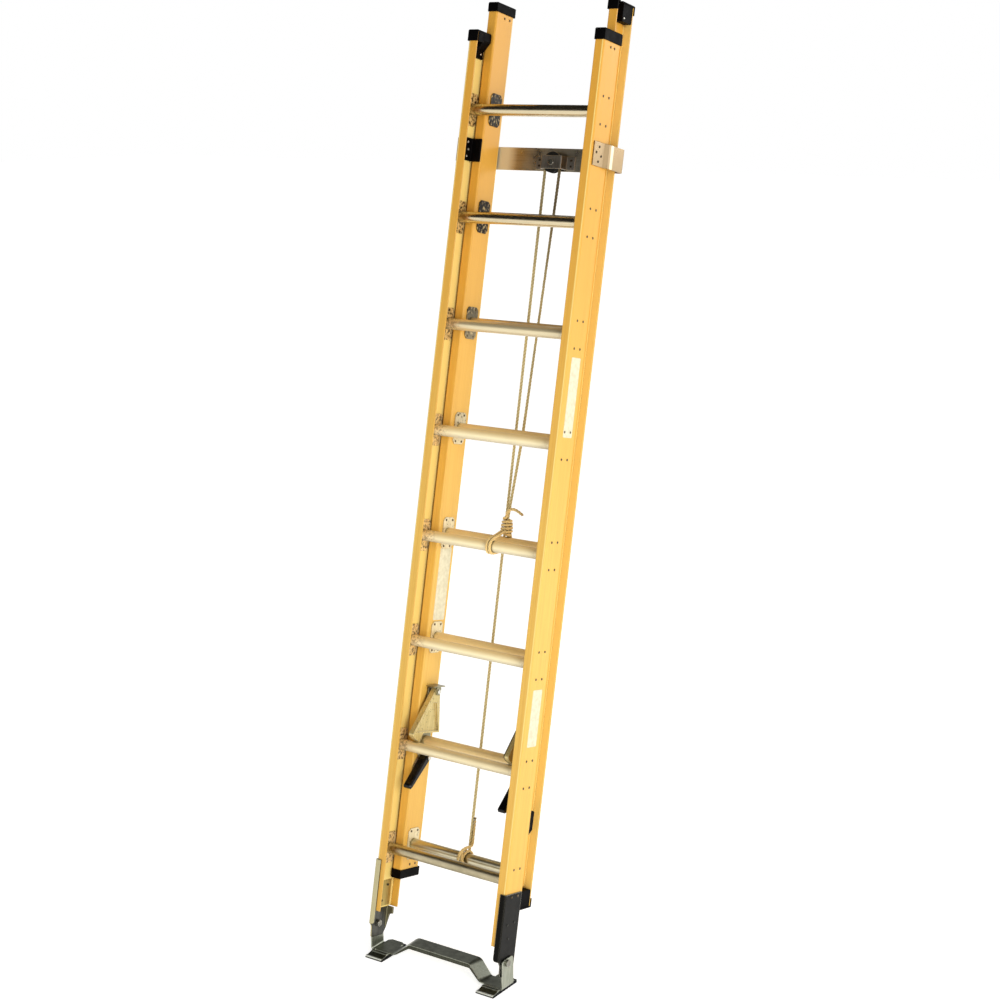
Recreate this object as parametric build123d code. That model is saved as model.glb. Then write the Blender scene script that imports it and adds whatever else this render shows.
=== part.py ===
from build123d import *
import math
import os

# Extension ladder: a base section and a fly section of fibreglass channel rails with tubular rungs,
# shown leaning at its working angle with both swivel shoes flat on the floor.
# The ladder is drawn upright in its own frame and then leant back about the shoe pivot:
# X runs along the rungs, Y from the front of the base section to the back of the fly section,
# Z up along the rails from the lower end of the base rails. All sizes are millimetres.

# Sections and rungs
RUNG_PITCH = 304.8
RUNG_COUNT = 8
BASE_WIDTH = 446.0
RAIL_SPARE = 85.6
RAIL_LENGTH = RUNG_COUNT * RUNG_PITCH + RAIL_SPARE
BASE_RUNG_START = 178.0
FLY_RAIL_START = 92.0
FLY_RUNG_START = 188.4
LEAN = 11.6

# Rail section, the same channel in both sections
RAIL_DEPTH = 87.0
RAIL_FLANGE = 28.0
RAIL_WALL = 4.0
RAIL_ROUND = 5.0
RAIL_INNER_ROUND = 1.5

# How the fly channels hook into the base channels
FLY_INSET = 11.3
FLY_SETBACK = 66.5

# Rungs and their plates
RUNG_RADIUS = 16.0
RUNG_WALL = 2.0
PLATE_DEPTH = 54.0
PLATE_RISE = 46.0
PLATE_THICK = 2.5
PLATE_CORNER = 9.0
PLATE_RIVET_Y = 15.0
PLATE_RIVET_Z = 38.0

# Fasteners and fits
RIVET_RADIUS = 3.6
RIVET_HEIGHT = 1.8
FIT = 0.1
RUN_GAP = 0.3

# Rail caps
CAP_WALL = 2.5
CAP_TOP = 5.0
CAP_ROUND = 4.0
BASE_CAP_SKIRT = 27.0
BASE_CAP_TAB = 68.0
BASE_CAP_TAB_THICK = 5.0
BASE_CAP_TAB_FRONT = 30.0
FLY_CAP_SKIRT = 22.0
FLY_CAP_PLUG = 48.0
FLY_CAP_PLUG_FRONT = 33.0
FLY_CAP_NOTCH_FRONT = 11.0
FLY_CAP_NOTCH_BACK = 27.0
CAP_RIVET_DROP = 14.0
CAP_RIVET_FRONT = 38.0
CAP_RIVET_BACK = 58.0
END_RIVET_IN = 12.0
END_RIVET_FRONT = -2.0
END_RIVET_BACK = 24.0

# Guides that keep the sections together
GUIDE_DROP = 324.0
GUIDE_HEIGHT = 64.0
GUIDE_PLATE = 5.0
GUIDE_FRONT = 31.0
GUIDE_LIP = 7.0
GUIDE_RIVET_IN = 9.0
GUIDE_RIVET_STEP = 5.0
PAD_Z = 333.0
PAD_HEIGHT = 73.0
PAD_DEPTH = 29.0
PAD_POINT = 20.0
PAD_CHAMFER = 3.0

# Pulley strap, its hat bracket and the wheel
STRAP_DROP = 330.5
STRAP_HEIGHT = 65.0
STRAP_THICK = 4.0
STRAP_FRONT = 7.0
STRAP_STEP_START = 60.0
STRAP_STEP_END = 72.0
STRAP_STEP = 7.0
STRAP_CORNER = 8.0
STRAP_CLEARANCE = 3.5
STRAP_RIVET_RISE = 20.0
STRAP_RIVET_SIDE = 13.0
STRAP_RIVET_TILT = 4.0
PULLEY_X = 12.0
PULLEY_DROP = 340.0
WHEEL_RADIUS = 29.5
WHEEL_WIDTH = 16.0
WHEEL_SIDE_GAP = 2.0
WHEEL_DISH = 3.0
WHEEL_HUB = 4.0
AXLE_RADIUS = 5.0
HAT_THICK = 3.0
HAT_HEIGHT = 38.0
HAT_HALF = 33.5
HAT_SPLAY = 4.0
HAT_FLANGE = 28.0

# Rope
ROPE_RADIUS = 4.5
ROPE_PITCH_RADIUS = 24.3
ROPE_SIDES = 8
HAUL_LEAVE = 60.0
HAUL_EASE = 900.0
HAUL_TURN = 300.0
TAIL_CURL = 14.0
TAIL_POINTS = [(0, -8, 16), (2, -12, 44), (14, -10, 60), (38, -10, 59), (56, -11, 47)]

# Rung locks, one inside each fly rail at its second rung
LOCK_INSET = 20.0
LOCK_THICK = 16.0
LOCK_PIVOT_RISE = 149.0
LOCK_PIVOT_BACK = 2.0
LOCK_BOSS = 12.0
LOCK_TIP = 155.0
LOCK_TIP_ANGLE = 40.0
LOCK_NOSE_FRONT_ANGLE = 36.0
LOCK_NOSE_BACK_ANGLE = 24.5
LOCK_REAR_ANGLE = -14.0
LOCK_BODY = 126.0
LOCK_RIM = 5.0
LOCK_RECESS = 6.0
LOCK_RECESS_TOP = 30.0
HOOD_FRONT = 24.0
HOOD_BACK = 30.0
PIN_RADIUS = 4.0
BRACKET_THICK = 3.0
FINGER_DROP = 44.0
FINGER_FORWARD = 13.0
FINGER_LENGTH = 104.0
FINGER_ANGLE = 42.0
FINGER_WIDTH = 27.0
FINGER_ROOT = 11.0
FINGER_TIP = 7.5
FINGER_ROUND = 3.5
LOCK_BOLT_RISE = 89.0
LOCK_BOLT_BACK = 31.0

# Feet
FOOT_WALL = 3.5
FOOT_TOP = 149.0
FOOT_BACK = 78.0
FOOT_FRONT_LEG = 15.0
FOOT_FRONT_END = -40.0
FOOT_LOW = -85.0
FOOT_LOW_FRONT = 12.0
FOOT_LOW_BACK = 66.0
FOOT_LOW_RISE = 17.0
FOOT_LOW_ROUND = 6.0
FOOT_REAR_LEG = 22.0
FOOT_REAR_END = -20.0
PIVOT_Y = 37.0
PIVOT_Z = -46.0
PIVOT_RADIUS = 6.0
PIVOT_HEIGHT = 85.0
BACKING_TOP = 80.0
BACKING_BOTTOM = 5.0
BACKING_DEPTH = 58.0

# Swivel shoe: both shoe plates and the bar between them, in floor coordinates below the pivot
SHOE_PLATE = 4.0
SOLE_THICK = 9.0
SHOE_BACK = 57.0
SHOE_BEND = -22.0
SHOE_TOE = -60.0
SHOE_INSET = 0.5
SHOE_WIDTH = 55.5
SHOE_CORNER = 9.0
TOE_DROP = 4.8
TOE_GROOVE = 2.4
TOE_BEAD = 6.0
LUG_THICK = 4.0
LUG_FRONT = -24.0
LUG_BACK = 31.0
LUG_TOP = 13.0
LUG_ROUND = 12.0
LUG_BEND = 7.0
BAR_HEIGHT = 50.0
BAR_END = 115.0
BAR_RUN = 44.0
BAR_FRONT = -6.0
BAR_BACK = 46.0
BAR_SHIFT = 12.0
BAR_LIP = 13.0
BAR_BEND = 20.0
TREAD_GROOVE = 3.0
TREAD_COUNT = 5

# Worked out from the sizes above
HALF = BASE_WIDTH / 2
GUIDE_Z = RAIL_LENGTH - GUIDE_DROP
STRAP_Z = RAIL_LENGTH - STRAP_DROP
PULLEY_Z = RAIL_LENGTH - PULLEY_DROP
WEB_IN = HALF - RAIL_WALL
FLY_TIP = HALF - FLY_INSET
FLY_FACE = FLY_TIP - RAIL_FLANGE
FLY_WEB_OUT = FLY_FACE + RAIL_WALL
FLY_BACK = FLY_SETBACK + RAIL_DEPTH
FLY_RAIL_END = FLY_RAIL_START + RAIL_LENGTH
BASE_RUNG_Y = RAIL_DEPTH / 2
FLY_RUNG_Y = FLY_SETBACK + RAIL_DEPTH / 2
STRAP_Y = FLY_BACK + STRAP_CLEARANCE + STRAP_THICK / 2
STRAP_INNER = STRAP_Y - STRAP_THICK / 2
HAT_DEPTH = WHEEL_WIDTH + 2 * WHEEL_SIDE_GAP + 2 * HAT_THICK
PULLEY_Y = STRAP_INNER - HAT_THICK - WHEEL_SIDE_GAP - WHEEL_WIDTH / 2
HAT_FACE = STRAP_INNER - HAT_DEPTH
LOCK_X = FLY_FACE - LOCK_INSET
BRACKET_X = FLY_FACE - PLATE_THICK - FIT
FOOT_OUT = HALF + FOOT_WALL
LUG_IN = FOOT_OUT + RUN_GAP
LUG_OUT = LUG_IN + LUG_THICK
SHOE_TOP = SOLE_THICK + SHOE_PLATE
SHOE_OUTER = HALF - SHOE_INSET
SHOE_INNER = SHOE_OUTER - SHOE_WIDTH
BAR_FLAT = HALF - BAR_END

# The lean, about the shoe pivot, whose axis stands PIVOT_HEIGHT above the floor
LEANT = Pos(0, 0, PIVOT_HEIGHT) * Rot(X=-LEAN) * Pos(0, -PIVOT_Y, -PIVOT_Z)

os.makedirs("parts", exist_ok=True)


def write(name, solids):
    shape = solids[0] if len(solids) == 1 else Compound(children=list(solids))
    export_step(shape, f"parts/{name}.step")


def leant(name, *solids):
    write(name, [LEANT * s for s in solids])


def flipped(shape):
    return mirror(shape, about=Plane.YZ)


def solid(shape):
    # One solid, whatever wrapper the last cut or fuse left around it
    found = shape.solids()
    return max(found, key=lambda s: s.volume)


def block(x0, x1, y0, y1, z0, z1):
    return Pos((x0 + x1) / 2, (y0 + y1) / 2, (z0 + z1) / 2) * Box(x1 - x0, y1 - y0, z1 - z0)


def across(profile, x0, x1):
    # Extrude a profile drawn with (Y, Z) points along X
    return extrude(Plane.YZ * profile, x1 - x0).moved(Location((x0, 0, 0)))


def polygon(*points):
    return make_face(Polyline(*points, close=True))


def disc(y, z, radius):
    return Pos(y, z) * Circle(radius)


def hull(*circles):
    # Face round a chain of circles given as (y, z, radius)
    edges = [e for y, z, r in circles for e in disc(y, z, r).edges()]
    return make_hull(edges)


def pin(x0, x1, y, z, radius):
    return Pos((x0 + x1) / 2, y, z) * Rot(Y=90) * Cylinder(radius, x1 - x0)


def rivet(x, y, z, outward):
    # A six-sided domed head on a face that looks along X
    head = extrude(RegularPolygon(RIVET_RADIUS, 6), RIVET_HEIGHT, taper=35)
    return Pos(x, y, z) * Rot(Y=90 * outward) * head


def both(shapes):
    return [s for shape in shapes for s in (shape, flipped(shape))]


def rung_heights(start):
    return [start + RUNG_PITCH * i for i in range(RUNG_COUNT)]


BASE_RUNGS = rung_heights(BASE_RUNG_START)
FLY_RUNGS = rung_heights(FLY_RUNG_START)


# Rails
def channel(web_x, tip_x, front):
    # Channel section between its web's outer face and its flange tips
    inward = math.copysign(1, tip_x - web_x)
    inner = web_x + inward * RAIL_WALL
    back = front + RAIL_DEPTH
    outline = polygon(
        (tip_x, front),
        (web_x, front),
        (web_x, back),
        (tip_x, back),
        (tip_x, back - RAIL_WALL),
        (inner, back - RAIL_WALL),
        (inner, front + RAIL_WALL),
        (tip_x, front + RAIL_WALL),
    )
    corners = outline.vertices()
    outline = fillet([v for v in corners if abs(v.X - web_x) < 0.01], RAIL_ROUND)
    corners = outline.vertices()
    return fillet([v for v in corners if abs(v.X - inner) < 0.01], RAIL_INNER_ROUND)


def rail(section, start):
    return Pos(0, 0, start) * extrude(section, RAIL_LENGTH)


base_rail = rail(channel(HALF, HALF - RAIL_FLANGE, 0), 0)
fly_rail = rail(channel(FLY_FACE, FLY_TIP, FLY_SETBACK), FLY_RAIL_START)
leant("base_rail_right", base_rail)
leant("base_rail_left", flipped(base_rail))
leant("fly_rail_right", fly_rail)
leant("fly_rail_left", flipped(fly_rail))


# Rungs: tubes from web to web
def rung(half_length, y, z):
    tube = Cylinder(RUNG_RADIUS, 2 * half_length) - Cylinder(RUNG_RADIUS - RUNG_WALL, 2 * half_length)
    return Pos(0, y, z) * Rot(Y=90) * tube


for number, z in enumerate(BASE_RUNGS, 1):
    leant(f"base_rung_{number}", rung(WEB_IN, BASE_RUNG_Y, z))
for number, z in enumerate(FLY_RUNGS, 1):
    leant(f"fly_rung_{number}", rung(FLY_FACE, FLY_RUNG_Y, z))


# Rung plates, one flat on the web round each rung end
def rung_plate(x0, x1, y, z):
    side = PLATE_DEPTH / 2
    cut = PLATE_CORNER
    outline = polygon(
        (y - side + cut, z - PLATE_RISE),
        (y + side - cut, z - PLATE_RISE),
        (y + side, z - PLATE_RISE + cut),
        (y + side, z + PLATE_RISE - cut),
        (y + side - cut, z + PLATE_RISE),
        (y - side + cut, z + PLATE_RISE),
        (y - side, z + PLATE_RISE - cut),
        (y - side, z - PLATE_RISE + cut),
    )
    return across(outline - disc(y, z, RUNG_RADIUS + FIT), x0, x1)


base_plates = [rung_plate(WEB_IN - PLATE_THICK, WEB_IN, BASE_RUNG_Y, z) for z in BASE_RUNGS]
fly_plates = [rung_plate(FLY_FACE - PLATE_THICK, FLY_FACE, FLY_RUNG_Y, z) for z in FLY_RUNGS]
leant("base_rung_plates", *both(base_plates))
leant("fly_rung_plates", *both(fly_plates))


def plate_rivets(x, outward, y, rows):
    return [rivet(x, y + i * PLATE_RIVET_Y, z, outward) for z in rows for i in (-1, 1)]


# Base heads show outside the webs, the lowest pair of them through the foot bracket.
# Fly heads sit on the plates between the rails, or on the lock bracket where that covers them.
base_rows = [z + k * PLATE_RIVET_Z for z in BASE_RUNGS for k in (-1, 1)]
base_heads = plate_rivets(HALF, 1, BASE_RUNG_Y, base_rows[1:])
base_heads += plate_rivets(FOOT_OUT, 1, BASE_RUNG_Y, base_rows[:1])
open_rungs = FLY_RUNGS[:1] + FLY_RUNGS[2:]
fly_rows = [z + k * PLATE_RIVET_Z for z in open_rungs for k in (-1, 1)]
plate_face = FLY_FACE - PLATE_THICK
fly_heads = plate_rivets(plate_face, -1, FLY_RUNG_Y, fly_rows)
fly_heads += plate_rivets(BRACKET_X - BRACKET_THICK, -1, FLY_RUNG_Y, [FLY_RUNGS[1] + PLATE_RIVET_Z])
fly_heads += [rivet(plate_face, FLY_RUNG_Y + PLATE_RIVET_Y, FLY_RUNGS[1] - PLATE_RIVET_Z, -1)]
cap_rivet_z = RAIL_LENGTH - BASE_CAP_SKIRT - CAP_RIVET_DROP
cap_heads = [rivet(HALF, y, cap_rivet_z, 1) for y in (CAP_RIVET_FRONT, CAP_RIVET_BACK)]
leant("base_rivets", *both(base_heads + cap_heads))


# Moulded caps
def rounded_top(shape, top):
    edges = shape.edges().filter_by(lambda e: abs(e.center().Z - top) < 0.01)
    return fillet(edges, CAP_ROUND)


def base_cap():
    # The sleeve stops short of the fly's front flange, which slides past behind it
    clear_y = FLY_SETBACK - CAP_WALL
    clear_x = FLY_TIP + RUN_GAP
    bottom = RAIL_LENGTH - BASE_CAP_SKIRT
    top = RAIL_LENGTH + CAP_TOP
    inner = HALF - RAIL_FLANGE - CAP_WALL
    sleeve = block(inner, HALF + CAP_WALL, -CAP_WALL, clear_y, bottom, top)
    sleeve += block(clear_x, HALF + CAP_WALL, clear_y, RAIL_DEPTH + CAP_WALL, bottom, top)
    sleeve = rounded_top(sleeve, top)
    hollow = block(inner, HALF + FIT, -FIT, RAIL_DEPTH + FIT, bottom, RAIL_LENGTH)
    plug = Plane.XZ * polygon(
        (WEB_IN - FIT, RAIL_LENGTH),
        (WEB_IN - FIT, RAIL_LENGTH - BASE_CAP_TAB),
        (WEB_IN - BASE_CAP_TAB_THICK, RAIL_LENGTH - BASE_CAP_TAB),
        (WEB_IN - BASE_CAP_TAB_THICK, RAIL_LENGTH - 0.7 * BASE_CAP_TAB),
        (inner, RAIL_LENGTH - 0.3 * BASE_CAP_TAB),
        (inner, RAIL_LENGTH),
    )
    tab = Pos(0, clear_y, 0) * extrude(plug, clear_y - BASE_CAP_TAB_FRONT)
    return solid(sleeve - hollow + tab)


def fly_cap():
    # Sleeve and plug for the upper end, notched where the base rail's rear flange runs
    top = FLY_RAIL_END + CAP_TOP
    bottom = FLY_RAIL_END - FLY_CAP_SKIRT
    x0 = FLY_FACE - CAP_WALL
    x1 = FLY_TIP + CAP_WALL
    y0 = FLY_SETBACK - CAP_WALL
    y1 = FLY_BACK + CAP_WALL
    sleeve = rounded_top(block(x0, x1, y0, y1, bottom, top), top)
    hollow = block(FLY_FACE - FIT, x1, FLY_SETBACK - FIT, FLY_BACK + FIT, bottom, FLY_RAIL_END)
    plug_front = FLY_SETBACK + FLY_CAP_PLUG_FRONT
    plug_back = FLY_BACK - RAIL_WALL - FIT
    plug = block(FLY_WEB_OUT + FIT, FLY_TIP, plug_front, plug_back, FLY_RAIL_END - FLY_CAP_PLUG, FLY_RAIL_END)
    corner = plug.edges().filter_by(Axis.Z).group_by(Axis.X)[0].sort_by(Axis.Y)[-1]
    plug = chamfer(corner, RAIL_INNER_ROUND)
    plug = fillet(plug.edges().filter_by(Axis.X).group_by(Axis.Z)[0], CAP_ROUND)
    notch_front = FLY_SETBACK + FLY_CAP_NOTCH_FRONT
    notch_back = FLY_SETBACK + FLY_CAP_NOTCH_BACK
    notch = block(FLY_WEB_OUT + FIT, x1, notch_front, notch_back, bottom, top)
    return solid(sleeve - hollow + plug - notch)


cap = base_cap()
leant("base_cap_right", cap)
leant("base_cap_left", flipped(cap))
top_cap = fly_cap()
middle = Plane.XY.offset(FLY_RAIL_START + RAIL_LENGTH / 2)
bottom_cap = mirror(top_cap, about=middle)
leant("fly_top_cap_right", top_cap)
leant("fly_top_cap_left", flipped(top_cap))
leant("fly_bottom_cap_right", bottom_cap)
leant("fly_bottom_cap_left", flipped(bottom_cap))
end_rows = (FLY_RAIL_END - FLY_CAP_SKIRT - END_RIVET_IN, FLY_RAIL_START + FLY_CAP_SKIRT + END_RIVET_IN)
end_sides = (FLY_RUNG_Y + END_RIVET_FRONT, FLY_RUNG_Y + END_RIVET_BACK)
end_heads = [rivet(FLY_FACE, y, z, -1) for y in end_sides for z in end_rows]
leant("fly_rivets", *both(fly_heads + end_heads))


# Guides
def guide_block():
    low = GUIDE_Z - GUIDE_HEIGHT / 2
    high = GUIDE_Z + GUIDE_HEIGHT / 2
    lip_back = FLY_SETBACK - RUN_GAP
    lip_front = lip_back - GUIDE_LIP
    plate = block(WEB_IN - GUIDE_PLATE, WEB_IN, GUIDE_FRONT, lip_back, low, high)
    lip = block(FLY_FACE, WEB_IN - GUIDE_PLATE, lip_front, lip_back, low, high)
    lip = fillet(lip.edges().filter_by(Axis.Z).group_by(Axis.X)[0], GUIDE_LIP / 3)
    return solid(plate + lip)


def guide_pad():
    # Pad on the fly web that runs along the back of the base rail's rear flange, pointed at its lower end
    face = RAIL_DEPTH + RUN_GAP
    back = face + PAD_DEPTH
    low = PAD_Z - PAD_HEIGHT / 2
    high = PAD_Z + PAD_HEIGHT / 2
    outline = polygon(
        (face, low),
        (face + PAD_CHAMFER, low),
        (back, low + PAD_POINT),
        (back, high - PAD_CHAMFER),
        (back - PAD_CHAMFER, high),
        (face, high),
    )
    return across(outline, FLY_WEB_OUT, FLY_TIP + 2)


guide = guide_block()
leant("guide_block_right", guide)
leant("guide_block_left", flipped(guide))
pad = guide_pad()
leant("fly_guide_pad_right", pad)
leant("fly_guide_pad_left", flipped(pad))


# Pulley strap round the back of the fly, with its rivets
def pulley_strap():
    leg = HALF + STRAP_THICK / 2
    wide = leg + STRAP_STEP
    half_path = [(leg, STRAP_FRONT), (leg, STRAP_STEP_START), (wide, STRAP_STEP_END), (wide, STRAP_Y)]
    points = half_path + [(-x, y) for x, y in reversed(half_path)]
    radii = [STRAP_THICK, STRAP_THICK, STRAP_CORNER, STRAP_CORNER, STRAP_THICK, STRAP_THICK]
    path = FilletPolyline(*points, radius=radii)
    section = Plane(origin=path @ 0, x_dir=(1, 0, 0), z_dir=path % 0) * Rectangle(STRAP_THICK, STRAP_HEIGHT)
    return Pos(0, 0, STRAP_Z) * solid(sweep(section, path))


def strap_rivets():
    middle_y = (STRAP_FRONT + STRAP_STEP_START) / 2
    side, tilt, rise = STRAP_RIVET_SIDE, STRAP_RIVET_TILT, STRAP_RIVET_RISE
    diamond = [(-side, tilt), (0, rise), (side, -tilt), (0, -rise)]
    legs = [rivet(HALF + STRAP_THICK, middle_y + y, STRAP_Z + z, 1) for y, z in diamond]
    guide_y = GUIDE_FRONT + GUIDE_RIVET_IN
    spots = [(guide_y, rise), (guide_y + GUIDE_RIVET_STEP, 0), (guide_y, -rise)]
    inside = [rivet(WEB_IN - GUIDE_PLATE, y, GUIDE_Z + z, -1) for y, z in spots]
    return both(legs + inside)


def front_rivet(x, y, z):
    head = extrude(RegularPolygon(RIVET_RADIUS, 6), RIVET_HEIGHT, taper=35)
    return Pos(x, y, z) * Rot(X=90) * head


def pulley_hat():
    t = HAT_THICK
    back = STRAP_INNER - t / 2
    front = HAT_FACE + t / 2
    spread = HAT_HALF + HAT_SPLAY
    points = [
        (-spread - HAT_FLANGE, back),
        (-spread, back),
        (-HAT_HALF, front),
        (HAT_HALF, front),
        (spread, back),
        (spread + HAT_FLANGE, back),
    ]
    path = FilletPolyline(*points, radius=t)
    section = Plane(origin=path @ 0, x_dir=(0, 1, 0), z_dir=path % 0) * Rectangle(t, HAT_HEIGHT)
    hat = Pos(PULLEY_X, 0, PULLEY_Z) * solid(sweep(section, path))
    bore = Pos(PULLEY_X, front, PULLEY_Z) * Rot(X=90) * Cylinder(AXLE_RADIUS + FIT, 4 * t)
    return solid(hat - bore)


def pulley_axle():
    # Bolt from the hat's face through the wheel to the strap, with a low head
    head = 2.4
    length = STRAP_INNER - HAT_FACE
    shank = Pos(0, HAT_FACE + length / 2, 0) * Rot(X=90) * Cylinder(AXLE_RADIUS, length)
    cap_head = Pos(0, HAT_FACE - head / 2, 0) * Rot(X=90) * Cylinder(1.7 * AXLE_RADIUS, head)
    return Pos(PULLEY_X, 0, PULLEY_Z) * solid(shank + cap_head)


def pulley_wheel():
    half = WHEEL_WIDTH / 2
    groove = ROPE_PITCH_RADIUS - ROPE_RADIUS - RUN_GAP
    rim = Cylinder(WHEEL_RADIUS, WHEEL_WIDTH)
    bite_corner = (ROPE_RADIUS + RUN_GAP) / math.cos(math.pi / ROPE_SIDES)
    bite = Pos(ROPE_PITCH_RADIUS, 0) * RegularPolygon(bite_corner, ROPE_SIDES, rotation=180 / ROPE_SIDES)
    mouth = polygon(
        (ROPE_PITCH_RADIUS, -ROPE_RADIUS - RUN_GAP),
        (WHEEL_RADIUS + 1, -half + 1),
        (WHEEL_RADIUS + 1, half - 1),
        (ROPE_PITCH_RADIUS, ROPE_RADIUS + RUN_GAP),
    )
    ring = revolve(Plane.XZ * (bite + mouth), Axis.Z)
    dish = Cylinder(groove - WHEEL_HUB, WHEEL_DISH) - Cylinder(AXLE_RADIUS + WHEEL_HUB, WHEEL_DISH)
    wheel = rim - ring - Cylinder(AXLE_RADIUS + FIT, WHEEL_WIDTH)
    wheel -= Pos(0, 0, half - WHEEL_DISH / 2) * dish
    wheel -= Pos(0, 0, WHEEL_DISH / 2 - half) * dish
    return Pos(PULLEY_X, PULLEY_Y, PULLEY_Z) * Rot(X=90) * solid(wheel)


leant("pulley_strap", pulley_strap())
leant("strap_rivets", *strap_rivets())
leant("pulley_hat", pulley_hat())
flange_middle = HAT_HALF + HAT_SPLAY + 0.55 * HAT_FLANGE
rivet_rise = 0.22 * HAT_HEIGHT
hat_spots = [(PULLEY_X + i * flange_middle, PULLEY_Z + k * rivet_rise) for i in (-1, 1) for k in (-1, 1)]
leant("hat_rivets", *[front_rivet(x, STRAP_INNER - HAT_THICK, z) for x, z in hat_spots])
leant("pulley_axle", pulley_axle())
leant("pulley_wheel", pulley_wheel())


# Rope: the lift fall, the haul fall and the two ties
def rope_section(radius):
    # Polygon of the same area as the rope's round section
    share = 2 * math.pi / ROPE_SIDES
    corner = radius * math.sqrt(share / math.sin(share))
    return RegularPolygon(corner, ROPE_SIDES, rotation=180 / ROPE_SIDES)


def tube(path, at_start):
    section = Plane(origin=path @ 0, x_dir=at_start, z_dir=path % 0) * rope_section(ROPE_RADIUS)
    return solid(sweep(section, path))


def knot_lump(radius):
    # Faceted ball for the turns of a knot
    shoulder = 0.75 * radius
    half = polygon((0, -radius), (shoulder, -shoulder), (radius, 0), (shoulder, shoulder), (0, radius))
    return revolve(Plane.XZ * half, Axis.Z)


KNOT_X = 3.0
KNOT_SHIFT = 5.0
KNOT_RISE = 24.0
END_LAID = 116.0
TIE_APART = 9.6
LIFT_TOP = (PULLEY_X - ROPE_PITCH_RADIUS, PULLEY_Y, PULLEY_Z - RUN_GAP)
LIFT_END = (KNOT_X, FLY_RUNG_Y + RUNG_RADIUS + ROPE_RADIUS + RUN_GAP, FLY_RUNGS[0] + KNOT_RISE)
lift = tube(Polyline(LIFT_END, LIFT_TOP), (1, 0, 0))
leant("rope_lift_fall", lift)
lift_length = (Vector(LIFT_TOP) - Vector(LIFT_END)).length

# The haul fall drops behind the fly rungs, bends a little round the fifth and ends in the tie at the fourth
TIE_X = 20.0
TIE_KNOT = (TIE_X, FLY_RUNG_Y - 2, FLY_RUNGS[3] + 38.7)
BEND_RUNG = (22.0, FLY_RUNG_Y, FLY_RUNGS[4])
bend_reach = RUNG_RADIUS + ROPE_RADIUS + RUN_GAP
haul_points = [
    (PULLEY_X - ROPE_PITCH_RADIUS, PULLEY_Y, PULLEY_Z),
    (PULLEY_X - ROPE_PITCH_RADIUS, PULLEY_Y, PULLEY_Z + ROPE_PITCH_RADIUS),
    (PULLEY_X + ROPE_PITCH_RADIUS, PULLEY_Y, PULLEY_Z + ROPE_PITCH_RADIUS),
    (PULLEY_X + ROPE_PITCH_RADIUS, PULLEY_Y, PULLEY_Z - HAUL_LEAVE),
    (BEND_RUNG[0], BEND_RUNG[1] + bend_reach + 1, BEND_RUNG[2] - 2),
    (TIE_KNOT[0], TIE_KNOT[1] - 1, TIE_KNOT[2] + 20),
]
wrap = ROPE_PITCH_RADIUS - 0.05
haul_path = FilletPolyline(*haul_points, radius=[wrap, wrap, HAUL_EASE, HAUL_TURN])
haul = tube(haul_path, (1, 0, 0))
leant("rope_haul_fall", haul)


def rung_knot():
    # Turns round the lowest fly rung, the crossing lump in front, and the rope's end laid up beside the fall
    turn = RUNG_RADIUS + RUN_GAP + ROPE_RADIUS
    lobes = [Pos(i * ROPE_RADIUS, turn) * rope_section(ROPE_RADIUS) for i in (-2.1, 0, 2.1)]
    bed = Pos(0, turn - ROPE_RADIUS / 2) * Rectangle(4.2 * ROPE_RADIUS, ROPE_RADIUS)
    wraps = revolve(lobes[0] + lobes[1] + lobes[2] + bed, Axis.X)
    lump = Pos(4, -turn - 3, 5) * knot_lump(2.7 * ROPE_RADIUS)
    bore = Rot(Y=90) * Cylinder(RUNG_RADIUS + RUN_GAP, 20 * ROPE_RADIUS)
    knot = Pos(KNOT_SHIFT, 0, 0) * (wraps + lump - bore)
    beside = 2 * ROPE_RADIUS + RUN_GAP
    laid_end = (beside - 1, turn + 0.6, END_LAID)
    laid_points = [(beside, turn, KNOT_RISE / 4), (beside, turn, KNOT_RISE), laid_end]
    laid = tube(Polyline(*laid_points), (1, 0, 0))
    return Pos(KNOT_X, FLY_RUNG_Y, FLY_RUNGS[0]) * solid(knot + laid)


def on_circle(centre, angle):
    return (centre[0] + bend_reach * math.cos(angle), centre[1] + bend_reach * math.sin(angle))


def touch_angle(centre, point, side):
    # Where a straight strand from the point meets the circle that the rope makes round a rung
    heading = math.atan2(point[1] - centre[1], point[0] - centre[0])
    return heading + side * math.acos(bend_reach / math.dist(centre, point))


def short_of(knot, point, gap):
    share = gap / math.dist(knot, point)
    return (knot[0] + share * (point[0] - knot[0]), knot[1] + share * (point[1] - knot[1]))


def tie_strand(x):
    # From the knot over and under the fourth base rung, then under and up behind the fourth fly rung
    front = (BASE_RUNG_Y, BASE_RUNGS[3])
    rear = (FLY_RUNG_Y, FLY_RUNGS[3])
    knot = TIE_KNOT[1:]
    top = touch_angle(front, knot, 1)
    under = math.atan2(rear[1] - front[1], rear[0] - front[0]) - math.pi / 2
    back = touch_angle(rear, knot, -1)
    over = on_circle(front, top)
    middle = on_circle(front, (top + under) / 2 + math.pi)
    below = on_circle(front, under)
    rear_below = on_circle(rear, under)
    rear_middle = on_circle(rear, (under + back) / 2)
    behind = on_circle(rear, back)
    pieces = [
        Line(short_of(knot, over, 2 * ROPE_RADIUS), over),
        ThreePointArc(over, middle, below),
        Line(below, rear_below),
        ThreePointArc(rear_below, rear_middle, behind),
        Line(behind, short_of(knot, behind, 2 * ROPE_RADIUS)),
    ]
    on_plane = Plane(origin=(x, 0, 0), x_dir=(0, 1, 0), z_dir=(1, 0, 0))
    return tube(on_plane * Wire(pieces), (1, 0, 0))


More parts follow.
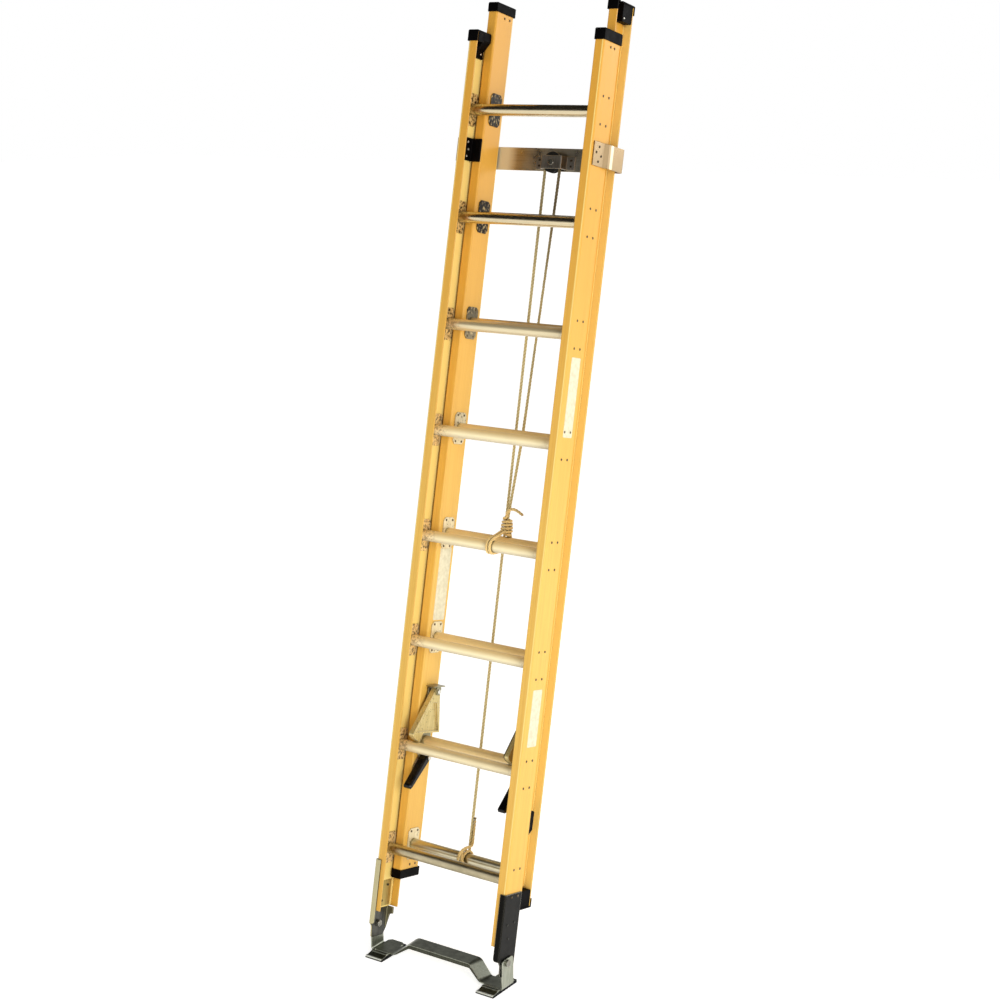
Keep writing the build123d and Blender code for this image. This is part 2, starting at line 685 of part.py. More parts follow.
def rope_tie():
    # A doubled loop round the fourth rungs of both sections, drawn together in a knot, with a short free tail
    strands = tie_strand(TIE_X - TIE_APART / 2) + tie_strand(TIE_X + TIE_APART / 2)
    lump = Pos(*TIE_KNOT) * (knot_lump(3.3 * ROPE_RADIUS) + Pos(0, -2, 16) * knot_lump(2.6 * ROPE_RADIUS))
    tail_points = [tuple(a + b for a, b in zip(TIE_KNOT, p)) for p in TAIL_POINTS]
    tail = tube(FilletPolyline(*tail_points, radius=[TAIL_CURL, TAIL_CURL, 1.4 * TAIL_CURL]), (1, 0, 0))
    return solid(strands + lump + tail)


leant("rung_knot", rung_knot())
tie = rope_tie()
leant("rope_tie", solid(tie - haul))


# Rung locks
LOCK_RUNG_Z = FLY_RUNGS[1]
LOCK_PIVOT = (FLY_RUNG_Y + LOCK_PIVOT_BACK, LOCK_RUNG_Z + LOCK_PIVOT_RISE)
FINGER_PIVOT = (FLY_RUNG_Y - FINGER_FORWARD, LOCK_RUNG_Z - FINGER_DROP)
LOCK_BOLT = (FLY_RUNG_Y + LOCK_BOLT_BACK, LOCK_RUNG_Z + LOCK_BOLT_RISE)
HELD_RUNG = (BASE_RUNG_Y, BASE_RUNGS[1])


def from_pivot(radius, angle):
    # A point below the lock's pivot, with the angle measured forward from straight down
    a = math.radians(angle)
    return (LOCK_PIVOT[0] - radius * math.sin(a), LOCK_PIVOT[1] - radius * math.cos(a))


def lock_hook():
    # The nose is an arc about the pivot, so the hook swings back just clear of the held rung
    to_rung = math.dist(LOCK_PIVOT, HELD_RUNG)
    nose = to_rung - RUNG_RADIUS - RUN_GAP
    nose_middle = (LOCK_NOSE_FRONT_ANGLE + LOCK_NOSE_BACK_ANGLE) / 2
    corners = [
        from_pivot(nose, LOCK_NOSE_BACK_ANGLE),
        from_pivot(LOCK_BODY + 2, LOCK_NOSE_BACK_ANGLE - 2),
        from_pivot(LOCK_BODY, LOCK_REAR_ANGLE),
        from_pivot(LOCK_BOSS, -90),
        from_pivot(LOCK_BOSS, LOCK_TIP_ANGLE + 90),
        from_pivot(LOCK_TIP, LOCK_TIP_ANGLE),
        from_pivot(nose, LOCK_NOSE_FRONT_ANGLE),
    ]
    arc = ThreePointArc(corners[-1], from_pivot(nose, nose_middle), corners[0])
    outline = make_face(Polyline(*corners) + arc)
    outline = outline + disc(*LOCK_PIVOT, LOCK_BOSS)
    outline = fillet(outline.vertices().sort_by(Axis.X)[0], 6)
    recess_rear = from_pivot(LOCK_RECESS_TOP, LOCK_REAR_ANGLE)
    recess_front = from_pivot(LOCK_RECESS_TOP, LOCK_NOSE_FRONT_ANGLE)
    recess = offset(polygon(*corners[1:3], recess_rear, recess_front, corners[-2]), -LOCK_RIM)
    x0 = LOCK_X - LOCK_THICK / 2
    x1 = LOCK_X + LOCK_THICK / 2
    hook = across(outline, x0, x1) - across(recess, x0, x0 + LOCK_RECESS)
    return solid(hook - pin(x0, x1, *LOCK_PIVOT, PIN_RADIUS + FIT))


def lock_bracket():
    # Plate on the rung plate, held by the rung and a bolt, with a hood and cheek over the hook's pivot
    x1 = BRACKET_X
    x0 = x1 - BRACKET_THICK
    rung_spot = (FLY_RUNG_Y, LOCK_RUNG_Z)
    plate = hull((*rung_spot, RUNG_RADIUS + 9), (*FINGER_PIVOT, 2.4 * PIN_RADIUS))
    plate += hull((*rung_spot, RUNG_RADIUS + 6), (*LOCK_PIVOT, LOCK_BOSS + 4))
    plate += hull((*LOCK_BOLT, 3 * PIN_RADIUS), (*LOCK_PIVOT, LOCK_BOSS + 4))
    plate -= disc(*rung_spot, RUNG_RADIUS + FIT)
    plate -= disc(*LOCK_PIVOT, PIN_RADIUS + FIT)
    plate -= disc(*FINGER_PIVOT, PIN_RADIUS + FIT)
    plate -= disc(*LOCK_BOLT, PIN_RADIUS + FIT)
    bracket = across(plate, x0, x1)
    cheek_in = LOCK_X - LOCK_THICK / 2 - 1 - BRACKET_THICK
    hood_low = LOCK_PIVOT[1] + LOCK_BOSS + 1
    hood_high = hood_low + BRACKET_THICK
    bracket += block(cheek_in, x1, LOCK_PIVOT[0] - HOOD_FRONT, LOCK_PIVOT[0] + HOOD_BACK, hood_low, hood_high)
    cheek = hull((*LOCK_PIVOT, LOCK_BOSS - 1), (LOCK_PIVOT[0], hood_high - LOCK_BOSS + 1, LOCK_BOSS - 1))
    cheek -= disc(*LOCK_PIVOT, PIN_RADIUS + FIT)
    bracket += across(cheek, cheek_in, cheek_in + BRACKET_THICK)
    return solid(bracket)


def lock_pins():
    # Pivot pin of the hook, pin of the finger and the bolt into the rail, each with a head
    end = BRACKET_X
    inner = LOCK_X - LOCK_THICK / 2 - 1 - BRACKET_THICK
    finger_in = LOCK_X - FINGER_WIDTH / 2 - 1
    plate_in = end - BRACKET_THICK
    hook_pin = pin(inner, FLY_FACE, *LOCK_PIVOT, PIN_RADIUS)
    hook_pin += pin(inner - 3, inner, *LOCK_PIVOT, 1.7 * PIN_RADIUS)
    finger_pin = pin(finger_in, end, *FINGER_PIVOT, PIN_RADIUS)
    finger_pin += pin(finger_in - 3, finger_in, *FINGER_PIVOT, 1.7 * PIN_RADIUS)
    bolt = pin(plate_in, FLY_FACE, *LOCK_BOLT, PIN_RADIUS)
    bolt += pin(plate_in - 6, plate_in, *LOCK_BOLT, 1.7 * PIN_RADIUS)
    return [solid(p) for p in (hook_pin, finger_pin, bolt)]


def lock_finger():
    a = math.radians(FINGER_ANGLE)
    tip = (FINGER_PIVOT[0] - FINGER_LENGTH * math.sin(a), FINGER_PIVOT[1] - FINGER_LENGTH * math.cos(a))
    outline = hull((*FINGER_PIVOT, FINGER_ROOT), (*tip, FINGER_TIP))
    arm = across(outline, LOCK_X - FINGER_WIDTH / 2, LOCK_X + FINGER_WIDTH / 2)
    rims = arm.faces().filter_by(Axis.X).edges()
    arm = chamfer(rims, FINGER_ROUND)
    return solid(arm - pin(LOCK_X - FINGER_WIDTH, LOCK_X + FINGER_WIDTH, *FINGER_PIVOT, PIN_RADIUS + FIT))


hook = lock_hook()
leant("lock_hook_right", hook)
leant("lock_hook_left", flipped(hook))
bracket = lock_bracket()
leant("lock_bracket_right", bracket)
leant("lock_bracket_left", flipped(bracket))
finger = lock_finger()
leant("lock_finger_right", finger)
leant("lock_finger_left", flipped(finger))
leant("lock_pins", *both(lock_pins()))


# Feet: steel channel brackets over the rail ends, backing plates and pivot bolts
def foot_bracket():
    # Bent from one sheet: a web outside the rail, a leg over its front and a short leg under its rear corner
    outline = polygon(
        (0, FOOT_TOP),
        (0, FOOT_FRONT_END),
        (FOOT_LOW_FRONT - 3, FOOT_FRONT_END - FOOT_LOW_FRONT),
        (FOOT_LOW_FRONT, FOOT_LOW),
        (FOOT_LOW_BACK, FOOT_LOW),
        (FOOT_BACK, FOOT_LOW + FOOT_LOW_RISE),
        (FOOT_BACK, FOOT_TOP),
    )
    low = outline.vertices().sort_by(Axis.Y)[:3]
    outline = fillet(low, FOOT_LOW_ROUND)
    outline -= disc(PIVOT_Y, PIVOT_Z, PIVOT_RADIUS + FIT)
    web = across(outline, HALF, FOOT_OUT)
    leg = block(HALF - FOOT_FRONT_LEG, FOOT_OUT, -FOOT_WALL, 0, FOOT_FRONT_END, FOOT_TOP)
    low_corner = leg.edges().filter_by(Axis.Y).group_by(Axis.Z)[0].sort_by(Axis.X)[0]
    leg = fillet(low_corner, FOOT_FRONT_LEG / 2)
    rear = Plane.XZ * polygon(
        (HALF, -1),
        (HALF - FOOT_REAR_LEG, -1),
        (HALF - FOOT_REAR_LEG, FOOT_REAR_END),
        (HALF - FOOT_REAR_LEG / 2, FOOT_REAR_END - FOOT_WALL),
        (HALF, FOOT_LOW + FOOT_LOW_RISE),
    )
    rear_leg = Pos(0, FOOT_BACK, 0) * extrude(rear, FOOT_WALL)
    bracket = solid(web + leg + rear_leg)
    front_edge = bracket.edges().filter_by(Axis.Z).filter_by(
        lambda e: abs(e.center().X - FOOT_OUT) < 0.01 and abs(e.center().Y + FOOT_WALL) < 0.01
    )
    return solid(fillet(front_edge, FOOT_WALL))


def pivot_bolt():
    head = pin(LUG_OUT, LUG_OUT + 6, PIVOT_Y, PIVOT_Z, 1.7 * PIVOT_RADIUS)
    shank = pin(HALF - 10, LUG_OUT, PIVOT_Y, PIVOT_Z, PIVOT_RADIUS)
    flat = extrude(RegularPolygon(1.7 * PIVOT_RADIUS, 6), 8)
    nut = Pos(HALF - 8, PIVOT_Y, PIVOT_Z) * Rot(Y=90) * flat
    return solid(head + shank + nut)


foot = foot_bracket()
leant("foot_bracket_right", foot)
leant("foot_bracket_left", flipped(foot))
bolt = pivot_bolt()
leant("pivot_bolt_right", bolt)
leant("pivot_bolt_left", flipped(bolt))
backing_y = BASE_RUNG_Y - BACKING_DEPTH / 2
backing_end = backing_y + BACKING_DEPTH
backing = block(WEB_IN - PLATE_THICK, WEB_IN, backing_y, backing_end, BACKING_BOTTOM, BACKING_TOP)
leant("foot_backing_plates", *both([backing]))
foot_spots = [(22, 62), (56, 66), (34, 22)]
foot_outside = [rivet(FOOT_OUT, y, z, 1) for y, z in foot_spots]
foot_inside = [rivet(WEB_IN - PLATE_THICK, y, z, -1) for y, z in foot_spots]
leant("foot_rivets", *both(foot_outside + foot_inside))


# Swivel shoe in floor coordinates, with the pivot axis above the origin
def toe_top():
    # Upper line of a shoe plate from its bend: a groove, a bead, the falling toe and a bead along its end
    front = SHOE_TOP - TOE_DROP
    return [
        (SHOE_BEND + 2, SHOE_TOP),
        (SHOE_BEND, SHOE_TOP - TOE_GROOVE),
        (SHOE_BEND - 3, SHOE_TOP - TOE_GROOVE),
        (SHOE_BEND - 4.5, SHOE_TOP + 0.6),
        (SHOE_BEND - 4.5 - TOE_BEAD, SHOE_TOP),
        (SHOE_BEND - 6.5 - TOE_BEAD, SHOE_TOP - TOE_GROOVE),
        (SHOE_TOE + 2 + TOE_BEAD, front - TOE_GROOVE / 2),
        (SHOE_TOE + 0.5 + TOE_BEAD, front + 0.6),
        (SHOE_TOE + 1.5, front + 0.2),
        (SHOE_TOE, front - 2),
    ]


def lug():
    # Strip bent up from the plate to stand outside the foot bracket, with the bolt hole near its round top
    t = LUG_THICK
    low = SHOE_TOP - t / 2
    points = [(SHOE_OUTER - 6, low), (LUG_IN + t / 2, low), (LUG_IN + t / 2, PIVOT_HEIGHT + LUG_TOP)]
    path = Plane.XZ * FilletPolyline(*points, radius=LUG_BEND)
    section = Plane(origin=path @ 0, x_dir=(0, 1, 0), z_dir=path % 0) * Rectangle(LUG_BACK - LUG_FRONT, t)
    strip = solid(sweep(section, path))
    strip = fillet(strip.edges().filter_by(Axis.X).group_by(Axis.Z)[-1], LUG_ROUND)
    strip = Pos(0, (LUG_BACK + LUG_FRONT) / 2, 0) * strip
    return strip - pin(LUG_IN, LUG_OUT, 0, PIVOT_HEIGHT, PIVOT_RADIUS + FIT)


def shoe_bar():
    side = polygon(
        (SHOE_BACK, SOLE_THICK),
        (SHOE_BACK, SHOE_TOP),
        *toe_top(),
        (SHOE_TOE, SOLE_THICK - TOE_DROP),
        (SHOE_BEND - 1, SOLE_THICK),
    )
    plate = across(side, SHOE_INNER, SHOE_OUTER)
    corners = plate.edges().filter_by(Axis.Z).sort_by(Axis.Y)
    plate = chamfer(corners[-2:], SHOE_CORNER)
    side_plate = plate + lug()
    t = SHOE_PLATE
    high = BAR_HEIGHT - t / 2
    low = SHOE_TOP - t / 2
    foot = BAR_FLAT + BAR_RUN
    inside = SHOE_INNER + BAR_LIP
    middle = (BAR_BACK + BAR_FRONT) / 2
    half_path = [(inside, middle - BAR_SHIFT, low), (foot, middle - BAR_SHIFT, low), (BAR_FLAT, middle, high)]
    points = half_path + [(-x, y, z) for x, y, z in reversed(half_path)]
    path = FilletPolyline(*points, radius=BAR_BEND)
    section = Plane(origin=path @ 0, x_dir=(0, 1, 0), z_dir=path % 0) * Rectangle(BAR_BACK - BAR_FRONT, t)
    bar = solid(sweep(section, path))
    lip_end = BAR_FLAT - BAR_BEND
    lip = block(-lip_end, lip_end, BAR_FRONT, BAR_FRONT + 3, BAR_HEIGHT - BAR_LIP, BAR_HEIGHT - 1)
    return solid(bar + lip + side_plate + flipped(side_plate))


def sole():
    # Rubber tread under one shoe plate, grooved across
    side = polygon(
        (SHOE_BACK + 2, 0),
        (SHOE_BACK + 2, SOLE_THICK),
        (SHOE_BEND - 1, SOLE_THICK),
        (SHOE_TOE, SOLE_THICK - TOE_DROP),
        (SHOE_TOE, 1),
        (SHOE_TOE + 2, 0),
    )
    x0 = SHOE_INNER - 2
    x1 = SHOE_OUTER + 1
    pad = across(side, x0, x1)
    step = (SHOE_BACK - SHOE_BEND) / (TREAD_COUNT + 1)
    for i in range(TREAD_COUNT):
        y = SHOE_BEND + step * (i + 1)
        pad -= block(x0, x1, y - TREAD_GROOVE / 2, y + TREAD_GROOVE / 2, 0, TREAD_GROOVE)
    return solid(pad)


write("shoe_bar", [shoe_bar()])
tread = sole()
write("sole_right", [tread])
write("sole_left", [flipped(tread)])

section_area = math.pi * ROPE_RADIUS**2
print("lift fall length", round(lift_length, 1))
print("haul fall length", round(haul_path.length, 1))
print("haul volume over section times length", round(haul.volume / (section_area * haul_path.length), 4))
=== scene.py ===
import math

import bmesh
import bpy
from mathutils import Matrix, Vector


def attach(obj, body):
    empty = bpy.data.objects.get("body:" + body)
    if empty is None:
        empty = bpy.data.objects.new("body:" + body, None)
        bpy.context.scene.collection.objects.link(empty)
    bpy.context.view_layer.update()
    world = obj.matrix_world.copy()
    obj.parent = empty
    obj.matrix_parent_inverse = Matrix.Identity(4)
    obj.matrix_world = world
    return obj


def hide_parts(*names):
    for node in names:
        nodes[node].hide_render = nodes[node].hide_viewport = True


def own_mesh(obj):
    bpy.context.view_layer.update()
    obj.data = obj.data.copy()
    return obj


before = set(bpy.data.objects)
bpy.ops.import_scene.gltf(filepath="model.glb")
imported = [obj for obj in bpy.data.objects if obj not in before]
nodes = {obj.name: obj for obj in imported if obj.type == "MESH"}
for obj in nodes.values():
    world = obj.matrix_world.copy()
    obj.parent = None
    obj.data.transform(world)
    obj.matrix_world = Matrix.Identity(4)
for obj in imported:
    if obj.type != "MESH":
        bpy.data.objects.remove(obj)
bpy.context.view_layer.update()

# Sizes of the ladder, in mm, in its own upright axes
MM_PER_METRE = 1000.0
LEAN = math.radians(11.6)
PIVOT_Y = 37.0
PIVOT_Z = -46.0
PIVOT_HEIGHT = 85.0
PITCH = 304.8
BASE_RUNG_Y = 43.5
FLY_RUNG_Y = 110.0
BASE_RUNG_START = 178.0
FLY_RUNG_START = 188.4
BASE_WEB_X = 223.0
FLY_WEB_X = 183.7
SIDES = (-1.0, 1.0)


def turned(direction):
    # A direction in the ladder's axes, leant back as the ladder stands
    x, y, z = direction
    cosine, sine = math.cos(LEAN), math.sin(LEAN)
    return Vector((x, y * cosine + z * sine, z * cosine - y * sine))


def at(x, y, z):
    # A point of the ladder in mm, as a place in the frame in metres
    moved = turned((x, y - PIVOT_Y, z - PIVOT_Z))
    return Vector((moved.x, moved.y, moved.z + PIVOT_HEIGHT)) / MM_PER_METRE


# Camera, as fitted to the photograph's rungs and rail edges, in radians, mm and shares of the picture
CAMERA_TURN = 0.582258
CAMERA_DIP = 0.053694
CAMERA_ROLL = 0.113455
FOCAL = 1.886441
DISTANCE = 5312.24
OFF_RIGHT = -0.004338
OFF_DOWN = -0.008425
TARGET = (0.0, 60.0, 1244.8)
SENSOR = 36.0
CLIP_END = 100.0


def add_camera():
    level = Vector((math.cos(CAMERA_TURN), math.sin(CAMERA_TURN), 0.0))
    inwards = Vector((-math.sin(CAMERA_TURN), math.cos(CAMERA_TURN), 0.0))
    ahead = math.cos(CAMERA_DIP) * inwards - math.sin(CAMERA_DIP) * Vector((0.0, 0.0, 1.0))
    above = level.cross(ahead)
    right = math.cos(CAMERA_ROLL) * level + math.sin(CAMERA_ROLL) * above
    up = math.cos(CAMERA_ROLL) * above - math.sin(CAMERA_ROLL) * level
    eye = Vector(TARGET) - DISTANCE * (ahead + (OFF_RIGHT * right - OFF_DOWN * up) / FOCAL)
    data = bpy.data.cameras.new("camera")
    data.sensor_width = SENSOR
    data.lens = FOCAL * SENSOR
    data.clip_end = CLIP_END
    camera = bpy.data.objects.new("camera", data)
    bpy.context.scene.collection.objects.link(camera)
    axes = Matrix((turned(right), turned(up), turned(-ahead))).transposed().to_4x4()
    camera.matrix_world = Matrix.Translation(at(*eye)) @ axes
    bpy.context.scene.camera = camera


add_camera()


# Meshes
def new_piece(name, verts, faces, material, smooth=True):
    mesh = bpy.data.meshes.new(name)
    mesh.from_pydata([tuple(v) for v in verts], [], faces)
    mesh.update()
    for polygon in mesh.polygons:
        polygon.use_smooth = smooth
    piece = bpy.data.objects.new(name, mesh)
    bpy.context.scene.collection.objects.link(piece)
    mesh.materials.append(material)
    return piece


def ring(centre, side, over, radius, count):
    # Points of a circle in the plane of two directions
    angles = [2 * math.pi * j / count for j in range(count)]
    return [centre + radius * (math.cos(a) * side + math.sin(a) * over) for a in angles]


def add_skin(faces, first, rings, count):
    # Faces between neighbouring rings of count points each, which start at the point of number first
    for i in range(rings - 1):
        for j in range(count):
            a = first + i * count + j
            b = first + i * count + (j + 1) % count
            faces.append((a, b, b + count, a + count))


# Materials
def shader_of(material):
    return material.node_tree.nodes["Principled BSDF"]


def new_material(name):
    material = bpy.data.materials.new(name)
    material.use_nodes = True
    return material, material.node_tree, shader_of(material)


def link(tree, source, target):
    tree.links.new(source, target)


def add_node(tree, kind, **values):
    node = tree.nodes.new(kind)
    for key, value in values.items():
        setattr(node, key, value)
    return node


def set_inputs(node, values):
    for name, value in values.items():
        node.inputs[name].default_value = value


def coordinate(tree, kind):
    return add_node(tree, "ShaderNodeTexCoord").outputs[kind]


def split(tree, vector):
    node = add_node(tree, "ShaderNodeSeparateXYZ")
    link(tree, vector, node.inputs["Vector"])
    return node.outputs["X"], node.outputs["Y"], node.outputs["Z"]


def ladder_coordinates(tree, stretch):
    # Texture coordinates that run along the rails, stretched by a factor for each axis
    upright = add_node(tree, "ShaderNodeVectorRotate", rotation_type="X_AXIS")
    set_inputs(upright, {"Angle": LEAN})
    mapping = add_node(tree, "ShaderNodeMapping")
    set_inputs(mapping, {"Scale": stretch})
    link(tree, coordinate(tree, "Object"), upright.inputs["Vector"])
    link(tree, upright.outputs["Vector"], mapping.inputs["Vector"])
    return mapping.outputs["Vector"]


def place_on_ladder(tree):
    # Where a point is across, through and along the ladder, in metres
    return split(tree, ladder_coordinates(tree, (1.0, 1.0, 1.0)))


def facing(tree):
    # How far the piece's own normal, which moves with the piece, points right, back and up
    return split(tree, coordinate(tree, "Normal"))


def calculated(tree, operation, *values):
    node = add_node(tree, "ShaderNodeMath", operation=operation)
    for value, socket in zip(values, node.inputs):
        link(tree, value, socket)
    return node.outputs[0]


def times(tree, first, second):
    return calculated(tree, "MULTIPLY", first, second)


def larger(tree, first, second):
    return calculated(tree, "MAXIMUM", first, second)


def size_of(tree, value):
    return calculated(tree, "ABSOLUTE", value)


def noise(tree, stretch, detail=3.0, roughness=0.5):
    # Noise in the ladder's axes, finer along an axis whose stretch is larger
    node = add_node(tree, "ShaderNodeTexNoise")
    set_inputs(node, {"Scale": 1.0, "Detail": detail, "Roughness": roughness})
    link(tree, ladder_coordinates(tree, stretch), node.inputs["Vector"])
    return node.outputs["Fac"]


def ramp(tree, factor, stops):
    node = add_node(tree, "ShaderNodeValToRGB")
    elements = node.color_ramp.elements
    while len(elements) < len(stops):
        elements.new(0.5)
    for element, (position, colour) in zip(elements, stops):
        element.position = position
        element.color = (*colour, 1.0)
    link(tree, factor, node.inputs["Fac"])
    return node.outputs["Color"]


def remap(tree, factor, low, high, start=0.3, end=0.7):
    # Low up to start, high from end on, and straight between them
    node = add_node(tree, "ShaderNodeMapRange")
    set_inputs(node, {"From Min": start, "From Max": end, "To Min": low, "To Max": high})
    link(tree, factor, node.inputs["Value"])
    return node.outputs["Result"]


def within(tree, value, rise, fall, most=1.0):
    # Rises from 0 to most over one stretch of the value and falls to 0 again over a later one
    return times(tree, remap(tree, value, 0.0, most, *rise), remap(tree, value, 1.0, 0.0, *fall))


# Sockets of a mix node: its factor and two colours, and the colour that comes out
MIX_INPUTS = (0, 6, 7)
MIX_RESULT = 2


def blended(tree, factor, first, second):
    node = add_node(tree, "ShaderNodeMix", data_type="RGBA")
    for value, number in zip((factor, first, second), MIX_INPUTS):
        if isinstance(value, tuple):
            node.inputs[number].default_value = (*value, 1.0)
        else:
            link(tree, value, node.inputs[number])
    return node.outputs[MIX_RESULT]


def overlaid(tree, tone, layers):
    # Lays each layer's colour over the tone in turn, as far as the layer's factor says
    for factor, colour in layers:
        tone = blended(tree, factor, tone, colour)
    return tone


def recoloured(material, layers):
    # Lays more colours over the one that the material has
    tree = material.node_tree
    base = shader_of(material).inputs["Base Color"]
    link(tree, overlaid(tree, base.links[0].from_socket, layers), base)


def lightened(colour, gain, lift=0.0):
    return tuple(min(1.0, gain * c + lift) for c in colour)


def bump(tree, shader, height, strength, distance, normal=None):
    node = add_node(tree, "ShaderNodeBump")
    set_inputs(node, {"Strength": strength, "Distance": distance})
    link(tree, height, node.inputs["Height"])
    if normal:
        link(tree, normal, node.inputs["Normal"])
    link(tree, node.outputs["Normal"], shader.inputs["Normal"])


def rounded(tree, radius):
    # A normal that turns over the edges, and how far it has turned there
    bevel = add_node(tree, "ShaderNodeBevel", samples=4)
    set_inputs(bevel, {"Radius": radius})
    geometry = add_node(tree, "ShaderNodeNewGeometry")
    likeness = add_node(tree, "ShaderNodeVectorMath", operation="DOT_PRODUCT")
    link(tree, bevel.outputs["Normal"], likeness.inputs[0])
    link(tree, geometry.outputs["Normal"], likeness.inputs[1])
    turned_over = remap(tree, likeness.outputs["Value"], 1.0, 0.0, 0.80, 0.99)
    return bevel.outputs["Normal"], turned_over


def crevice_shading(tree, reach, open_at=0.75, shut_at=0.30):
    # 1 deep in corners and gaps, where painted shade darkens the colour, and 0 in the open
    node = add_node(tree, "ShaderNodeAmbientOcclusion", samples=6)
    set_inputs(node, {"Distance": reach})
    return remap(tree, node.outputs["AO"], 1.0, 0.0, shut_at, open_at)


# The stretch, through the ladder in metres, over which looks change from front to rear
FRONT_TO_REAR = (0.010, 0.030)


def fibreglass():
    # Pultruded amber rail: lengthwise fibre streaks under a satin resin skin, with painted shade in the gaps
    # and towards the top, and painted light on the inner faces
    material, tree, shader = new_material("amber_fibreglass")
    across, through, along = place_on_ladder(tree)
    fibres = noise(tree, (420.0, 420.0, 5.0), 4.0, 0.6)
    bands = noise(tree, (60.0, 60.0, 0.8), 2.0)
    clouds = noise(tree, (6.0, 6.0, 2.2), 2.0)
    streaks = [(0.30, (0.70, 0.39, 0.064)), (0.52, (0.79, 0.475, 0.090)), (0.75, (0.85, 0.56, 0.124))]
    banded = remap(tree, bands, 0.0, 0.35)
    clouded = remap(tree, clouds, 0.0, 0.22)
    # Painted shade: deeper, darker amber towards the top, where less light falls
    upper = remap(tree, along, 0.0, 0.85, 1.20, 2.40)
    lower = remap(tree, along, 0.55, 0.0, 0.10, 0.70)
    # Painted light: paler yellow on the base web's inner face and on a narrow strip further back
    lit_inner_web = within(tree, size_of(tree, across), (0.2160, 0.2180), (0.2195, 0.2205), 0.9)
    lit_rear_strip = within(tree, through, (0.0930, 0.0940), (0.0958, 0.0966), 0.8)
    # Painted shade: deep brown in corners and gaps
    crevice_shade = crevice_shading(tree, 0.014, 0.52, 0.32)
    colour = overlaid(tree, ramp(tree, fibres, streaks), [
        (banded, (0.84, 0.54, 0.115)),
        (clouded, (0.74, 0.42, 0.073)),
        (upper, (0.68, 0.325, 0.030)),
        (lower, (0.76, 0.385, 0.045)),
        (lit_inner_web, (0.90, 0.70, 0.23)),
        (lit_rear_strip, (0.88, 0.66, 0.20)),
        (crevice_shade, (0.16, 0.055, 0.008)),
    ])
    link(tree, colour, shader.inputs["Base Color"])
    link(tree, remap(tree, fibres, 0.38, 0.52), shader.inputs["Roughness"])
    set_inputs(shader, {"Specular IOR Level": 0.35, "Coat Weight": 0.08, "Coat Roughness": 0.25})
    normal = rounded(tree, 0.003)[0]
    bump(tree, shader, fibres, 0.12, 0.0004, normal)
    return material


def rung_metal():
    # Extruded rung: fine draw lines, painted light and shade by which way it faces on the middle rungs, bare
    # near the top, worn dull at the foot, and painted shade in the corners
    material, tree, shader = new_material("rung_metal")
    across, through, along = place_on_ladder(tree)
    height = remap(tree, facing(tree)[2], 0.0, 1.0, -1.0, 1.0)
    lines = noise(tree, (4.0, 900.0, 900.0))
    marks = noise(tree, (18.0, 30.0, 30.0), 5.0, 0.6)
    specks = noise(tree, (140.0, 140.0, 140.0))
    bare = ramp(tree, lines, [(0.30, (0.60, 0.51, 0.33)), (0.70, (0.76, 0.65, 0.43))])
    worn = ramp(tree, marks, [(0.35, (0.21, 0.185, 0.11)), (0.62, (0.47, 0.41, 0.27))])
    # Painted light and shade by which way the surface faces: greyer below, a painted highlight across the
    # middle, and warmer on top
    facing_light_and_shade = ramp(tree, height, [
        (0.12, (0.60, 0.55, 0.41)),
        (0.50, (0.98, 0.86, 0.54)),
        (0.90, (0.93, 0.70, 0.33)),
    ])
    # The middle rungs, which get the painted light and shade, and are rougher and less metallic
    middle_rungs = within(tree, along, (0.30, 0.75), (1.55, 2.05))
    lowest = remap(tree, along, 1.0, 0.0, 0.25, 0.40)
    end = remap(tree, size_of(tree, across), 0.0, 0.45, 0.160, 0.190)
    rear = times(tree, middle_rungs, remap(tree, through, 0.0, 1.0, *FRONT_TO_REAR))
    rear_low = times(tree, lowest, remap(tree, through, 0.0, 0.8, *FRONT_TO_REAR))
    scuffed = remap(tree, marks, 0.0, 0.14, 0.5, 0.8)
    spotted = times(tree, end, remap(tree, specks, 1.0, 0.0, 0.44, 0.52))
    # Painted shade: darker where the rung meets the plates, and in other corners
    crevice_shade = crevice_shading(tree, 0.012, 0.80, 0.45)
    colour = overlaid(tree, bare, [
        (middle_rungs, facing_light_and_shade),
        (rear, (0.93, 0.69, 0.31)),
        (lowest, worn),
        (rear_low, (0.84, 0.80, 0.60)),
        (scuffed, (0.50, 0.40, 0.25)),
        (spotted, (0.10, 0.08, 0.03)),
        (crevice_shade, (0.15, 0.12, 0.04)),
    ])
    middle_rough = remap(tree, middle_rungs, 0.24, 0.50, 0.0, 1.0)
    end_rough = remap(tree, end, 0.20, 0.48, 0.0, 1.0)
    foot_rough = remap(tree, lowest, 0.20, 0.42, 0.0, 1.0)
    rough = larger(tree, larger(tree, middle_rough, end_rough), foot_rough)
    link(tree, colour, shader.inputs["Base Color"])
    link(tree, rough, shader.inputs["Roughness"])
    link(tree, remap(tree, middle_rungs, 1.0, 0.12, 0.0, 1.0), shader.inputs["Metallic"])
    bump(tree, shader, lines, 0.06, 0.0002)
    return material


